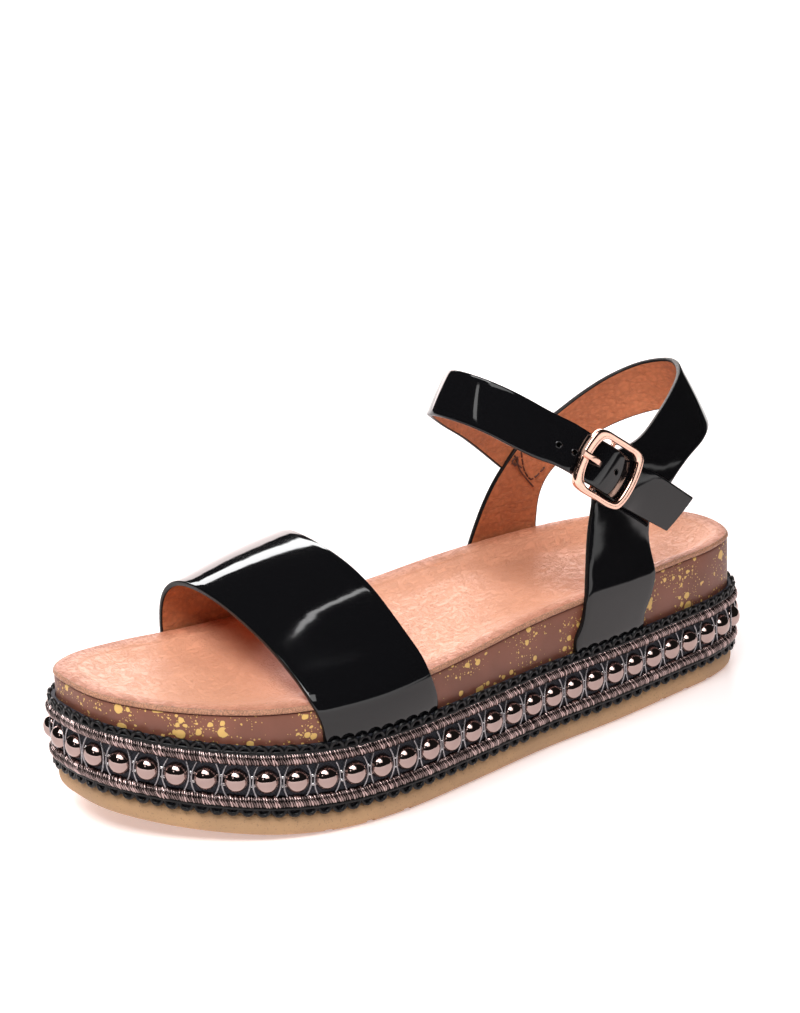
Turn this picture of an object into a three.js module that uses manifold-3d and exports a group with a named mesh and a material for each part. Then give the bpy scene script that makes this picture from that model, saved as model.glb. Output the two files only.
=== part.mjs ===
// A left platform sandal, adult size 37, in millimetres.
// +X is the outer side of the foot, the toe points to -Y and +Z is up.
// The ground is z = 0 and the origin lies under the middle of the footbed.
import * as THREE from "three";
import Module from "manifold-3d";

const wasm = await Module();
wasm.setup();

// Named sizes
const LENGTH = 248; // of the footbed, heel to toe
const HALF_BALL = 43; // half the width across the ball
const RIM = 50.4; // height of the footbed's rim near the heel
const DIP = 5.4; // how far the heel seat lies under its rim
const CROWN = 24.6; // height of the toe strap over the heel's rim
const ANKLE = 76; // height of the ankle strap over the heel's rim
const STATIONS = 31; // along the shoe, on each side
const GAP = 0.3; // between pieces that meet
const BOARD = 1.9; // thickness of the footbed
const SPRING = { from: 0.7, rise: 7.8 }; // toe spring, as a share of the length and in mm
const SOLE = { top: 7.9, bulge: 1.3, inset: 9 }; // the outsole, where the platform starts on it
const TREAD = { width: 3, depth: 1.4, reach: 120 }; // cross grooves under the outsole
const STRAP = { thick: 1.9, corner: 0.6, half: 7.5 }; // straps, half is half the ankle strap's width
const TRIM = { bottom: 8.5, top: 31.7, wall: 1.5, cord: 3.3, bead: 19.6 }; // braid round the platform
const BEAD = { pitch: 9.34, first: 307.9, radius: 4.1, sink: 0.6, high: 2.4, sides: 8 };
const POCKET = { deep: 3.2, play: 0.7 }; // behind the braid, for a strap's end
const BUCKLE = {
  halfWide: 9.5, halfLong: 9.6, bow: 1.3, wide: 1.15, wire: 1.2, // the frame and half its section
  bar: 0.8, barDepth: 3.7, // the bar behind the strap
};

// Outline of the footbed seen from above: share of the length from the heel, then share of the half ball
// width, + to the outer side
const OUTLINE = [
  [0, -0.012], [0.0185, 0.362], [0.0698, 0.526], [0.1488, 0.619], [0.2657, 0.735],
  [0.4032, 0.826], [0.5403, 0.97], [0.6573, 1.072], [0.75, 1.049], [0.831, 0.9],
  [0.8996, 0.635], [0.954, 0.323], [0.9887, 0.014], [1, -0.302], [0.996, -0.628],
  [0.9512, -0.867], [0.8754, -0.956], [0.7903, -0.923], [0.7016, -0.891], [0.5968, -0.826],
  [0.496, -0.784], [0.3831, -0.805], [0.246, -0.779], [0.146, -0.693], [0.0653, -0.563],
  [0.0185, -0.335],
];
// Heights along the shoe: along is the share of the length from the heel, edge the rim's height as a share
// of RIM, dip the fall from the rim to the middle as a share of DIP
const HEIGHTS = [
  { along: 0.0, edge: 0.998, dip: 0.593 },
  { along: 0.1, edge: 1.0, dip: 0.963 },
  { along: 0.2, edge: 0.998, dip: 1.0 },
  { along: 0.4, edge: 0.958, dip: 0.667 },
  { along: 0.6, edge: 0.895, dip: 0.481 },
  { along: 0.8, edge: 0.863, dip: 0.444 },
  { along: 1.0, edge: 0.798, dip: 0.222 },
];
// The middle line that rings shrink to, as shares of the length from the heel
const MIDDLE = { heel: 0.129, toe: 0.867 };

const v3 = (x, y, z) => new THREE.Vector3(x, y, z);
const lerp = THREE.MathUtils.lerp;
const clamp = THREE.MathUtils.clamp;
const smooth = (x) => THREE.MathUtils.smoothstep(x, 0, 1);

// Value of a column of a table at a share of the length, with a smooth curve through the rows
function column(table, key, at) {
  const n = table.length - 1;
  let i = 0;
  while (i < n - 1 && table[i + 1].along < at) i++;
  const a = table[i], b = table[i + 1];
  const before = table[Math.max(i - 1, 0)], after = table[Math.min(i + 2, n)];
  const h = b.along - a.along, t = clamp((at - a.along) / h, 0, 1);
  const m0 = (b[key] - before[key]) / (b.along - before.along);
  const m1 = (after[key] - a[key]) / (after.along - a.along);
  return (
    (2 * t ** 3 - 3 * t * t + 1) * a[key] + (t ** 3 - 2 * t * t + t) * h * m0 +
    (3 * t * t - 2 * t ** 3) * b[key] + (t ** 3 - t * t) * h * m1
  );
}
const toeSpring = (along) => clamp((along - SPRING.from) / (1 - SPRING.from), 0, 1) ** 2 * SPRING.rise;
const edgeHeight = (along) => RIM * column(HEIGHTS, "edge", along) + toeSpring(along);

// The outline as a closed curve in the plane, fine enough to read distances and sides from
const curve = new THREE.CatmullRomCurve3(
  OUTLINE.map(([along, across]) => v3(across * HALF_BALL, LENGTH * (0.5 - along), 0)), true, "centripetal",
);
const FINE = 900;
const fine = Array.from({ length: FINE }, (_, i) => curve.getPoint(i / FINE));
const toeIndex = fine.reduce((best, p, i) => (p.y < fine[best].y ? i : best), 0);
const heelIndex = fine.reduce((best, p, i) => (p.y > fine[best].y ? i : best), 0);

// Half width of the sole at a y, side +1 outer or -1 inner
function wallX(y, side) {
  const step = side > 0 ? 1 : -1;
  const at = (i) => fine[(i % FINE + FINE) % FINE];
  let i = heelIndex;
  while (at(i + step).y > y && (i + step - toeIndex) % FINE !== 0) i += step;
  const a = at(i), b = at(i + step);
  return lerp(a.x, b.x, clamp((a.y - y) / (a.y - b.y || 1), 0, 1));
}
// A point of the outline and its outward direction at index i of the fine curve
function edgePoint(i) {
  const p = curve.getPoint((i / FINE + 1) % 1), t = curve.getTangent((i / FINE + 1) % 1);
  const out = v3(t.y, -t.x, 0).normalize();
  return { p, out: out.dot(v3(p.x, p.y > 80 || p.y < -80 ? p.y : 0, 0)) < 0 ? out.negate() : out };
}
// The sole's stations: heel, outer side, toe, inner side, at the same distances along both sides
const stations = (() => {
  const list = [];
  const top = fine[heelIndex].y, bottom = fine[toeIndex].y;
  for (let k = 0; k < 2 * STATIONS; k++) {
    const side = k <= STATIONS ? 1 : -1, j = k <= STATIONS ? k : 2 * STATIONS - k;
    const y = lerp(top, bottom, 0.5 - 0.5 * Math.cos((Math.PI * j) / STATIONS));
    let i = j === 0 ? heelIndex : j === STATIONS ? toeIndex : heelIndex;
    if (j > 0 && j < STATIONS) {
      while (fine[(i + FINE) % FINE].y > y) i += side;
      const a = fine[(i - side + FINE) % FINE], b = fine[(i + FINE) % FINE];
      i = i - side + side * ((a.y - y) / (a.y - b.y));
    }
    const { p, out } = edgePoint(i);
    const along = (top - p.y) / LENGTH;
    const yc = clamp(p.y, LENGTH * (0.5 - MIDDLE.toe), LENGTH * (0.5 - MIDDLE.heel));
    list.push({ p, out, along, centre: v3((wallX(yc, 1) + wallX(yc, -1)) / 2, yc, 0) });
  }
  return list;
})();

// A ring round the sole: off is the distance outside the outline, share pulls it towards the middle line,
// height gives z
const soleRing = (off, height, share = 1) =>
  stations.map(({ p, out, along, centre }) => {
    const q = p.clone().addScaledVector(out, off);
    q.lerpVectors(centre, q, share);
    q.z = height(along);
    return q;
  });
const flat = (z) => (along) => z + toeSpring(along);

// Closed surface through rings of equal count, the first and last closed by strips between mirrored points
function loft(rings, closedPath = false, pair = 1) {
  const n = rings[0].length, m = rings.length, index = [];
  const bands = closedPath ? m : m - 1;
  for (let r = 0; r < bands; r++)
    for (let i = 0; i < n; i++) {
      const a = r * n + i, b = r * n + ((i + 1) % n);
      const c = ((r + 1) % m) * n + i, d = ((r + 1) % m) * n + ((i + 1) % n);
      index.push(a, b, d, a, d, c);
    }
  if (!closedPath)
    for (const [base, turned] of [[0, true], [(m - 1) * n, false]])
      for (let i = 0; i < n / 2 - pair; i++) {
        const a = i, b = i + 1, c = (2 * n - pair - i - 1) % n, d = (2 * n - pair - i) % n;
        for (const tri of [[a, b, c], [a, c, d]])
          if (new Set(tri).size === 3) index.push(...(turned ? tri.reverse() : tri).map((k) => base + k));
      }
  const g = new THREE.BufferGeometry();
  const places = rings.flat().flatMap((p) => [p.x, p.y, p.z]);
  g.setAttribute("position", new THREE.Float32BufferAttribute(places, 3));
  g.setIndex(index);
  return g;
}

// Between three.js geometry and solids
function solid(geometry) {
  const g = geometry.index ? geometry : geometry.clone();
  const verts = new Float32Array(g.attributes.position.array);
  const tris = g.index ? new Uint32Array(g.index.array) : new Uint32Array(verts.length / 3).map((_, i) => i);
  let volume = 0;
  const at = (i) => v3(verts[3 * i], verts[3 * i + 1], verts[3 * i + 2]);
  for (let i = 0; i < tris.length; i += 3) volume += at(tris[i]).dot(at(tris[i + 1]).cross(at(tris[i + 2])));
  if (volume < 0)
    for (let i = 0; i < tris.length; i += 3) [tris[i + 1], tris[i + 2]] = [tris[i + 2], tris[i + 1]];
  const mesh = new wasm.Mesh({ numProp: 3, vertProperties: verts, triVerts: tris });
  mesh.merge();
  return new wasm.Manifold(mesh);
}
const joined = (solids) => solids.slice(1).reduce((a, b) => a.add(b), solids[0]);
function geometryOf(made) {
  const m = made.getMesh();
  const g = new THREE.BufferGeometry();
  const pos = new Float32Array(m.numVert * 3);
  for (let i = 0; i < m.numVert; i++)
    pos.set(m.vertProperties.subarray(i * m.numProp, i * m.numProp + 3), i * 3);
  g.setAttribute("position", new THREE.BufferAttribute(pos, 3));
  g.setIndex(new THREE.BufferAttribute(new Uint32Array(m.triVerts), 1));
  return g;
}
const box = (w, d, h, x, y, z) => new THREE.BoxGeometry(w, d, h).translate(x, y, z);

// Height of the footbed's top at a share of the way from the middle line to the rim
const ring = { rim: 1, band: 0.9, slope: 0.76, floor: 0.58, inner: 0.3 };
const footTop = (share) => (along) =>
  edgeHeight(along) - DIP * column(HEIGHTS, "dip", along) * smooth((0.93 - share) / 0.4);

// Sole
function outsole() {
  const { top, bulge, inset } = SOLE;
  const rings = [
    soleRing(-inset, flat(0)), soleRing(-1.6, flat(0)), soleRing(0.2, flat(0.1 * top)),
    soleRing(0.85 * bulge, flat(0.33 * top)), soleRing(bulge, flat(0.58 * top)),
    soleRing(0.7 * bulge, flat(0.86 * top)), soleRing(-0.2, flat(top)), soleRing(-inset, flat(top)),
  ];
  let made = solid(loft(rings, false, 0));
  // Cross grooves: their places along the shoe as shares of the length, + to the heel
  const GROOVES = [0.419, 0.371, 0.323, -0.153, -0.21, -0.266, -0.323];
  for (const at of GROOVES) {
    const cut = box(TREAD.reach, TREAD.width, 2 * TREAD.depth, 0, at * LENGTH, 0);
    made = made.subtract(solid(cut));
  }
  return made;
}
function midsole() {
  const low = SOLE.top + GAP;
  const top = (share) => (along) => footTop(share)(along) - BOARD - GAP;
  const rings = [
    soleRing(-SOLE.inset, flat(low)), soleRing(-0.4, flat(low)), soleRing(0, flat(low + 0.9)),
    soleRing(0, flat(TRIM.top + 1)), soleRing(0, (a) => top(1)(a) - 0.6), soleRing(-0.5, top(1)),
    soleRing(0, top(ring.band), ring.band), soleRing(0, top(ring.slope), ring.slope),
    soleRing(0, top(ring.floor), ring.floor), soleRing(0, top(ring.inner), ring.inner),
  ];
  return solid(loft(rings, false, 0));
}
function footbed() {
  const under = (share) => (along) => footTop(share)(along) - BOARD;
  const shares = [ring.inner, ring.floor, ring.slope, ring.band];
  const rings = [
    ...shares.map((s) => soleRing(0, under(s), s)),
    soleRing(-0.1, under(1)),
    soleRing(0.3, (a) => footTop(1)(a) - 0.68 * BOARD),
    soleRing(0, (a) => footTop(1)(a) - 0.3),
    soleRing(-0.9, footTop(1)),
    ...shares.toReversed().map((s) => soleRing(0, footTop(s), s)),
  ];
  return solid(loft(rings, false, 0));
}

// Braid round the platform: a section row is the distance outside the outline, then the height
function trimBand() {
  const { bottom, top, wall, cord } = TRIM;
  const slope = cord - 0.4, lip = wall + 0.2;
  const high = [[lip, top - 2.3], [slope, top - 3], [cord, top - 4.6], [slope, top - 6.2], [wall, top - 6.9]];
  const low = [[lip, bottom + 1.7], [slope, bottom + 2.4], [cord, bottom + 4], [slope, bottom + 5.6]];
  const section = [
    [GAP, bottom], [GAP, top], [wall, top], ...high, [wall, bottom + 6.2], ...low.reverse(), [wall, bottom],
  ];
  const around = stations.map(({ p, out, along }) =>
    section.map(([off, z]) => {
      const q = p.clone().addScaledVector(out, off);
      q.z = z + toeSpring(along);
      return q;
    }),
  );
  const length = curve.getLength(), count = Math.round(length / BEAD.pitch);
  const start = BEAD.first / length;
  const beads = Array.from({ length: count }, (_, k) => bead((start + 1 - k / count) % 1));
  return joined([solid(loft(around, true)), ...beads]);
}
// A domed bead on the band, at a share of the way round the outline
function bead(u) {
  const p = curve.getPointAt(u), t = curve.getTangentAt(u), up = v3(0, 0, 1);
  const out = v3(t.y, -t.x, 0);
  if (out.dot(edgePoint(curve.getUtoTmapping(u) * FINE).out) < 0) out.negate();
  const centre = p.clone().addScaledVector(out, TRIM.wall);
  centre.z = TRIM.bead + toeSpring((LENGTH / 2 - p.y) / LENGTH);
  // Depth out of the wall and share of the radius
  const dome = [[-BEAD.sink, 0.99], [0.375 * BEAD.high, 0.96], [BEAD.high, 0.42]];
  const rings = dome.map(([depth, share]) =>
    Array.from({ length: BEAD.sides }, (_, i) => {
      const a = ((i + 0.5) / BEAD.sides) * 2 * Math.PI, r = BEAD.radius * share;
      const q = centre.clone().addScaledVector(out, depth);
      return q.addScaledVector(t, r * Math.cos(a)).addScaledVector(up, r * Math.sin(a));
    }),
  );
  return solid(loft(rings, false, 1));
}

// Straps. A row of a strap holds the front or upper edge and the rear or lower edge of its outer face, and
// how far its middle swells out between them. It is given in shares: x of the half ball width, y of the
// length, z of the way from the heel's rim to the strap's own height over it
const rowsTo = (rise) => (fx, fy, fz, rx, ry, rz, swell = v3(0, 0, 0)) => ({
  front: v3(fx * HALF_BALL, fy * LENGTH, RIM + fz * rise),
  rear: v3(rx * HALF_BALL, ry * LENGTH, RIM + rz * rise),
  swell,
  bow: 1,
});
// A row on the side of the platform: places of both edges as shares of the length, height over the braid
// and distance outside the outline
const legRow = (side, frontShare, rearShare, over, off) => {
  const front = frontShare * LENGTH, rear = rearShare * LENGTH, z = TRIM.top + over;
  const a = wallX(front, side), b = wallX(rear, side);
  const middle = wallX((front + rear) / 2, side) - (a + b) / 2;
  return {
    front: v3(a + side * off, front, z), rear: v3(b + side * off, rear, z), swell: v3(middle, 0, 0), bow: 0,
  };
};
// Both edges of a strap where it tucks in behind the braid, as shares of the length
const VAMP_LEG = { outer: [-0.2685, -0.0988], inner: [-0.3085, -0.1391] };
const QUARTER_LEG = { outer: [0.1516, 0.2798], inner: [0.1573, 0.2782] };
// The rows of a leg from its end behind the braid up to where it leans over the platform's side
const leg = (side, [front, rear]) => {
  const places = [[-7.1, -GAP], [0.1, -GAP], [1.7, 0.4], [4.7, 2.2]];
  return places.map(([over, off]) => legRow(side, front, rear, over, off));
};

// Rows spaced evenly along a smooth curve through the given ones
function spread(rows, count) {
  const curveOf = (key) => new THREE.CatmullRomCurve3(rows.map((r) => r[key]), false, "centripetal");
  const front = curveOf("front"), rear = curveOf("rear"), last = rows.length - 1;
  const marks = [0];
  for (let i = 1; i < rows.length; i++) {
    const step = rows[i].front.distanceTo(rows[i - 1].front) + rows[i].rear.distanceTo(rows[i - 1].rear);
    marks.push(marks[i - 1] + 0.5 * step);
  }
  return Array.from({ length: count }, (_, k) => {
    const s = (marks.at(-1) * k) / (count - 1);
    let i = 0;
    while (i < rows.length - 2 && marks[i + 1] < s) i++;
    const part = (s - marks[i]) / (marks[i + 1] - marks[i]), t = (i + part) / last;
    const swell = rows[i].swell.clone().lerp(rows[i + 1].swell, part);
    const bow = lerp(rows[i].bow, rows[i + 1].bow, part);
    return { front: front.getPoint(t), rear: rear.getPoint(t), swell, bow };
  });
}
// A strap through rows, its wall towards the foot; bow lifts the middle of the outer face
function strap(list, outward, bow) {
  const { thick, corner: r } = STRAP;
  const rings = list.map((row, k) => {
    const a = list[Math.max(k - 1, 0)], b = list[Math.min(k + 1, list.length - 1)];
    const run = b.front.clone().add(b.rear).sub(a.front).sub(a.rear);
    const wide = row.rear.clone().sub(row.front), w = wide.length();
    wide.normalize();
    const up = run.clone().cross(wide).normalize();
    if (up.dot(outward(row)) < 0) up.negate();
    const point = (x, depth) => {
      const arch = 4 * (x / w) * (1 - x / w);
      const q = row.front.clone().addScaledVector(wide, x).addScaledVector(row.swell, arch);
      return q.addScaledVector(up, bow * row.bow * arch - depth);
    };
    const outer = [[0, r], [r, 0], [w / 3, 0], [(2 * w) / 3, 0], [w - r, 0], [w, r]];
    const inner = outer.map(([x, depth]) => [x, thick - depth]).reverse();
    return [...outer, ...inner].map(([x, depth]) => point(x, depth));
  });
  return solid(loft(rings, false, 1));
}
// Pocket in the platform's side for a leg that tucks in behind the braid
function pocket(side, [front, rear]) {
  const shares = [0, 0.25, 0.5, 0.75, 1];
  const { deep, play } = POCKET;
  // Height over the braid's top and depth
  const rows = [[-7.9, deep], [0.7, deep], [5.7, GAP]].map(([over, in_]) =>
    [...shares.map((t) => [t, -in_]), ...shares.map((t) => [1 - t, deep])].map(([t, off]) => {
      const y = lerp(front * LENGTH - play, rear * LENGTH + play, t);
      return v3(wallX(y, side) + side * off, y, TRIM.top + over);
    }),
  );
  return solid(loft(rows, false, 1));
}

// Strap over the toes, from the outer side of the sole to the inner
function vamp() {
  const row = rowsTo(CROWN);
  const rows = [
    legRow(1, -0.2742, -0.104, 7.9, 2.5),
    legRow(1, -0.2806, -0.1113, 11.9, 2.8),
    row(1.033, -0.2855, -0.146, 1.093, -0.1133, -0.122, v3(1, 0, 0.3)),
    row(0.953, -0.2851, -0.041, 1.028, -0.1149, 0.016, v3(0.4, 0, 0.4)),
    row(0.802, -0.2855, 0.073, 0.907, -0.1165, 0.146),
    row(0.565, -0.2883, 0.272, 0.702, -0.1194, 0.39),
    row(0.263, -0.2927, 0.451, 0.419, -0.123, 0.683),
    row(-0.028, -0.2968, 0.573, 0.116, -0.127, 0.87),
    row(-0.326, -0.3008, 0.642, -0.209, -0.131, 0.967),
    row(-0.56, -0.304, 0.642, -0.479, -0.1347, 0.996),
    row(-0.733, -0.3069, 0.585, -0.702, -0.1371, 0.98),
    row(-0.874, -0.3089, 0.431, -0.851, -0.1395, 0.854),
    row(-0.953, -0.3097, 0.203, -0.912, -0.1411, 0.492),
    row(-0.981, -0.3101, -0.033, -0.926, -0.1415, 0.008, v3(-0.6, 0, 0)),
    legRow(-1, -0.3101, -0.1415, 12.7, 2.5),
    legRow(-1, -0.3093, -0.1407, 8.3, 2.5),
  ];
  const whole = [...leg(1, VAMP_LEG.outer), ...spread(rows, 24), ...leg(-1, VAMP_LEG.inner).reverse()];
  return strap(whole, (r) => v3(r.front.x + r.rear.x, 0, HALF_BALL), 0.9);
}

// The buckle's own axes: along the strap towards its tip, across it upwards, and out of its face
const buckleAt = v3(0.8 * HALF_BALL, 0.2133 * LENGTH, RIM + 0.5526 * ANKLE);
const alongStrap = v3(0.1, 0.784, -0.613).normalize();
const outOfFace = alongStrap.clone().cross(v3(-0.06, 0.616, 0.788)).normalize();
const acrossStrap = outOfFace.clone().cross(alongStrap).normalize();
if (outOfFace.x < 0) outOfFace.negate();
if (acrossStrap.z < 0) acrossStrap.negate();
const onBuckle = (a, b, n) => {
  const q = buckleAt.clone().addScaledVector(alongStrap, a).addScaledVector(acrossStrap, b);
  return q.addScaledVector(outOfFace, n);
};
// A row of the ankle strap inside the buckle
const buckleRow = (a, n) => ({
  front: onBuckle(a, STRAP.half, n), rear: onBuckle(a, -STRAP.half, n), swell: v3(0, 0, 0), bow: 1,
});

function rearUpper() {
  const row = rowsTo(ANKLE);
  // Outer sole, outer quarter, heel strap, inner quarter, inner sole
  const band = [
    legRow(1, 0.1605, 0.2887, 8.3, 2.5),
    legRow(1, 0.1677, 0.2984, 13.3, 2.5),
    legRow(1, 0.1698, 0.3016, 15.9, 2.5),
    legRow(1, 0.171, 0.3032, 17.5, 2.4),
    row(0.821, 0.173, 0.013, 0.709, 0.304, 0.018),
    row(0.772, 0.1823, 0.15, 0.679, 0.3008, 0.108),
    row(0.719, 0.1927, 0.274, 0.66, 0.3008, 0.182),
    row(0.677, 0.2056, 0.387, 0.649, 0.3065, 0.247),
    row(0.663, 0.2097, 0.5, 0.651, 0.3145, 0.287),
    row(0.651, 0.2258, 0.574, 0.653, 0.3234, 0.321),
    row(0.628, 0.2581, 0.587, 0.653, 0.3363, 0.361),
    row(0.577, 0.3004, 0.611, 0.628, 0.3556, 0.411),
    row(0.495, 0.3427, 0.684, 0.577, 0.3855, 0.466),
    row(0.391, 0.3806, 0.75, 0.486, 0.421, 0.5),
    row(0.223, 0.4177, 0.803, 0.291, 0.4589, 0.534),
    row(-0.023, 0.4371, 0.818, -0.023, 0.4774, 0.558),
    row(-0.286, 0.4194, 0.784, -0.326, 0.4556, 0.529),
    row(-0.47, 0.3847, 0.718, -0.526, 0.4153, 0.476),
    row(-0.595, 0.3468, 0.634, -0.651, 0.375, 0.411),
    row(-0.679, 0.3097, 0.547, -0.726, 0.3403, 0.334),
    row(-0.742, 0.2681, 0.463, -0.765, 0.3177, 0.271),
    row(-0.772, 0.2379, 0.361, -0.791, 0.3024, 0.205),
    row(-0.795, 0.2145, 0.258, -0.809, 0.2944, 0.126),
    row(-0.823, 0.1968, 0.145, -0.819, 0.2919, 0.061),
    row(-0.851, 0.1798, 0.003, -0.823, 0.2903, -0.005),
    legRow(-1, 0.1718, 0.2879, 13.3, 2.5),
    legRow(-1, 0.1645, 0.2839, 8.3, 2.5),
  ];
  const round = [...leg(1, QUARTER_LEG.outer), ...spread(band, 42), ...leg(-1, QUARTER_LEG.inner).reverse()];
  const heelWards = (r) => Math.max(r.front.y + r.rear.y - 0.6 * LENGTH, 0);
  const around = strap(round, (r) => v3(r.front.x + r.rear.x, heelWards(r), 0), 0.4);
  // Ankle strap from the inner quarter over the instep to its tip
  const ankle = [
    row(-0.788, 0.2923, 0.418, -0.798, 0.2508, 0.255),
    row(-0.791, 0.2581, 0.505, -0.8, 0.2194, 0.35),
    row(-0.749, 0.2218, 0.593, -0.753, 0.1871, 0.442),
    row(-0.665, 0.1794, 0.689, -0.665, 0.1476, 0.545),
    row(-0.544, 0.1391, 0.784, -0.563, 0.1089, 0.632),
    row(-0.381, 0.1008, 0.884, -0.405, 0.0694, 0.724),
    row(-0.186, 0.073, 0.959, -0.198, 0.0423, 0.782),
    row(0.035, 0.0629, 1, 0.047, 0.0331, 0.811),
    row(0.221, 0.071, 0.995, 0.251, 0.0452, 0.797),
    row(0.37, 0.0927, 0.958, 0.419, 0.0653, 0.761),
    row(0.488, 0.1198, 0.9, 0.54, 0.0903, 0.703),
    row(0.586, 0.148, 0.832, 0.633, 0.1185, 0.642),
    buckleRow(-17, -3.4),
    buckleRow(-11.8, -1.95),
    buckleRow(-7.4, -1.8),
    buckleRow(-3, -0.6),
    buckleRow(1.5, -0.35),
    buckleRow(5.6, -1.3),
    buckleRow(10, -2),
    buckleRow(14.4, -1.9),
    row(0.809, 0.2968, 0.471, 0.772, 0.2589, 0.313),
    row(0.826, 0.3544, 0.324, 0.756, 0.3173, 0.183),
  ];
  const toeWards = (r) => Math.min(r.front.y + r.rear.y - 0.44 * LENGTH, 0);
  const top = strap(spread(ankle, 45), (r) => v3(r.front.x + r.rear.x, toeWards(r), 4), 0.3);
  // Two small loops on the outer quarter hold the buckle's bar; the hole lets the prong through the strap
  const { bar, barDepth, halfWide } = BUCKLE;
  const hold = STRAP.half - 1.5;
  const bore = rod(onBuckle(0, -halfWide, -barDepth), onBuckle(0, halfWide, -barDepth), bar + GAP, 12);
  const loops = [-0.6, 0.6].map((s) => solid(frameBox(0, s * hold, -barDepth - 1.25, 4.4, 3.2, 4.6)));
  const hole = solid(frameBox(-2.2, 0, -1.2, 8.2, 2.6, 3.6));
  return joined([around, top.subtract(hole), ...loops.map((l) => l.subtract(bore))]);
}
// A box in the buckle's axes
function frameBox(a, b, n, long, wide, deep) {
  const g = new THREE.BoxGeometry(long, wide, deep);
  const m = new THREE.Matrix4().makeBasis(alongStrap, acrossStrap, alongStrap.clone().cross(acrossStrap));
  return g.applyMatrix4(m.setPosition(onBuckle(a, b, n)));
}
// A round rod between two points
function rod(from, to, radius, sides) {
  const g = new THREE.CylinderGeometry(radius, radius, from.distanceTo(to), sides);
  const run = to.clone().sub(from).normalize();
  g.applyQuaternion(new THREE.Quaternion().setFromUnitVectors(v3(0, 1, 0), run));
  return solid(g.translate(...from.clone().add(to).multiplyScalar(0.5).toArray()));
}
// A wire through points of the buckle's axes, closed or open
function wire(points, wide, deep, count, closed) {
  const path = new THREE.CatmullRomCurve3(points.map(([a, b, n]) => v3(a, b, n)), closed, "centripetal");
  const full = 1.06; // the eight sides lie on the round section
  const rings = Array.from({ length: closed ? count : count + 1 }, (_, i) => {
    const t = i / count, p = path.getPointAt(t), d = path.getTangentAt(t);
    const side = Math.abs(d.z) > 0.9 ? v3(1, 0, 0) : v3(d.y, -d.x, 0).normalize();
    const up = side.clone().cross(d).normalize();
    return Array.from({ length: 8 }, (_, j) => {
      const a = ((j + 0.5) / 8) * 2 * Math.PI;
      const q = p.clone().addScaledVector(side, wide * full * Math.cos(a));
      q.addScaledVector(up, deep * full * Math.sin(a));
      return onBuckle(q.x, q.y, q.z);
    });
  });
  return solid(loft(rings, closed, 1));
}
function buckleFrame() {
  const { halfLong: l, halfWide: w, bow, wide, wire: deep, bar, barDepth } = BUCKLE;
  const half = [
    [-l + 4, w + 0.3], [l - 4, w + 0.3], [l - 0.4, w - 1.2], [l + 0.54 * bow, w - 4], [l + bow, 0],
    [l + 0.54 * bow, -w + 4], [l - 0.4, -w + 1.2],
  ];
  const all = [...half, ...half.map(([a, b]) => [-a, -b])].map(([a, b]) => [a, b, 0]);
  const legs = [-w, w].map((b) => rod(onBuckle(0, b, 0), onBuckle(0, b, -barDepth - bar), bar, 8));
  const back = rod(onBuckle(0, -w, -barDepth), onBuckle(0, w, -barDepth), bar, 8);
  return joined([wire(all, wide, deep, 32, true), ...legs, back]);
}
function buckleProng() {
  const { bar, barDepth, halfLong, bow, wire: deep } = BUCKLE;
  const thin = 0.5, r = bar + GAP + thin + 0.05, onTop = deep + GAP + thin + 0.05;
  // Round the bar, up through the strap and on to the frame
  const turn = [-60, 0, 60, 120, 180, 225].map((deg) => {
    const a = THREE.MathUtils.degToRad(deg);
    return [r * Math.cos(a), 0, -barDepth - r * Math.sin(a)];
  });
  const points = [...turn, [-2.9, 0, -1.1], [-5.2, 0, 0.9], [-8.2, 0, 1.95], [-halfLong - bow - 1.5, 0, onTop]];
  return wire(points, 0.95, thin, 20, false);
}

// Looks and the part itself: colour, roughness, metalness
const FINISHES = {
  outsole: [0xc8a075, 0.75, 0],
  midsole: [0x8a5446, 0.45, 0],
  footbed: [0xf0b48c, 0.7, 0],
  trim_band: [0x5a4a4a, 0.35, 0.6],
  vamp_strap: [0x0b0a0c, 0.08, 0],
  rear_upper: [0x0b0a0c, 0.08, 0],
  buckle_frame: [0xe0a088, 0.2, 1],
  buckle_prong: [0xe0a088, 0.2, 1],
};
const pockets = [VAMP_LEG, QUARTER_LEG].flatMap((ends) => [pocket(1, ends.outer), pocket(-1, ends.inner)]);
const solids = {
  outsole: outsole(),
  midsole: pockets.reduce((body, cut) => body.subtract(cut), midsole()),
  footbed: footbed(),
  trim_band: trimBand(),
  vamp_strap: vamp(),
  rear_upper: rearUpper(),
  buckle_frame: buckleFrame(),
  buckle_prong: buckleProng(),
};
const sandal = new THREE.Group();
sandal.name = "platform_sandal";
for (const [name, made] of Object.entries(solids)) {
  const [color, roughness, metalness] = FINISHES[name];
  const finish = new THREE.MeshStandardMaterial({ color, roughness, metalness });
  const mesh = new THREE.Mesh(geometryOf(made), finish);
  mesh.name = name;
  sandal.add(mesh);
}
export default sandal;
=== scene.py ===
"""A left platform sandal, dressed for a photograph on the frame of its CAD model."""

import logging
import math
from dataclasses import dataclass
from enum import Enum
from typing import Any, Callable, Sequence

import bmesh
import bpy
import numpy as np
from mathutils import Matrix, Vector


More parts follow.
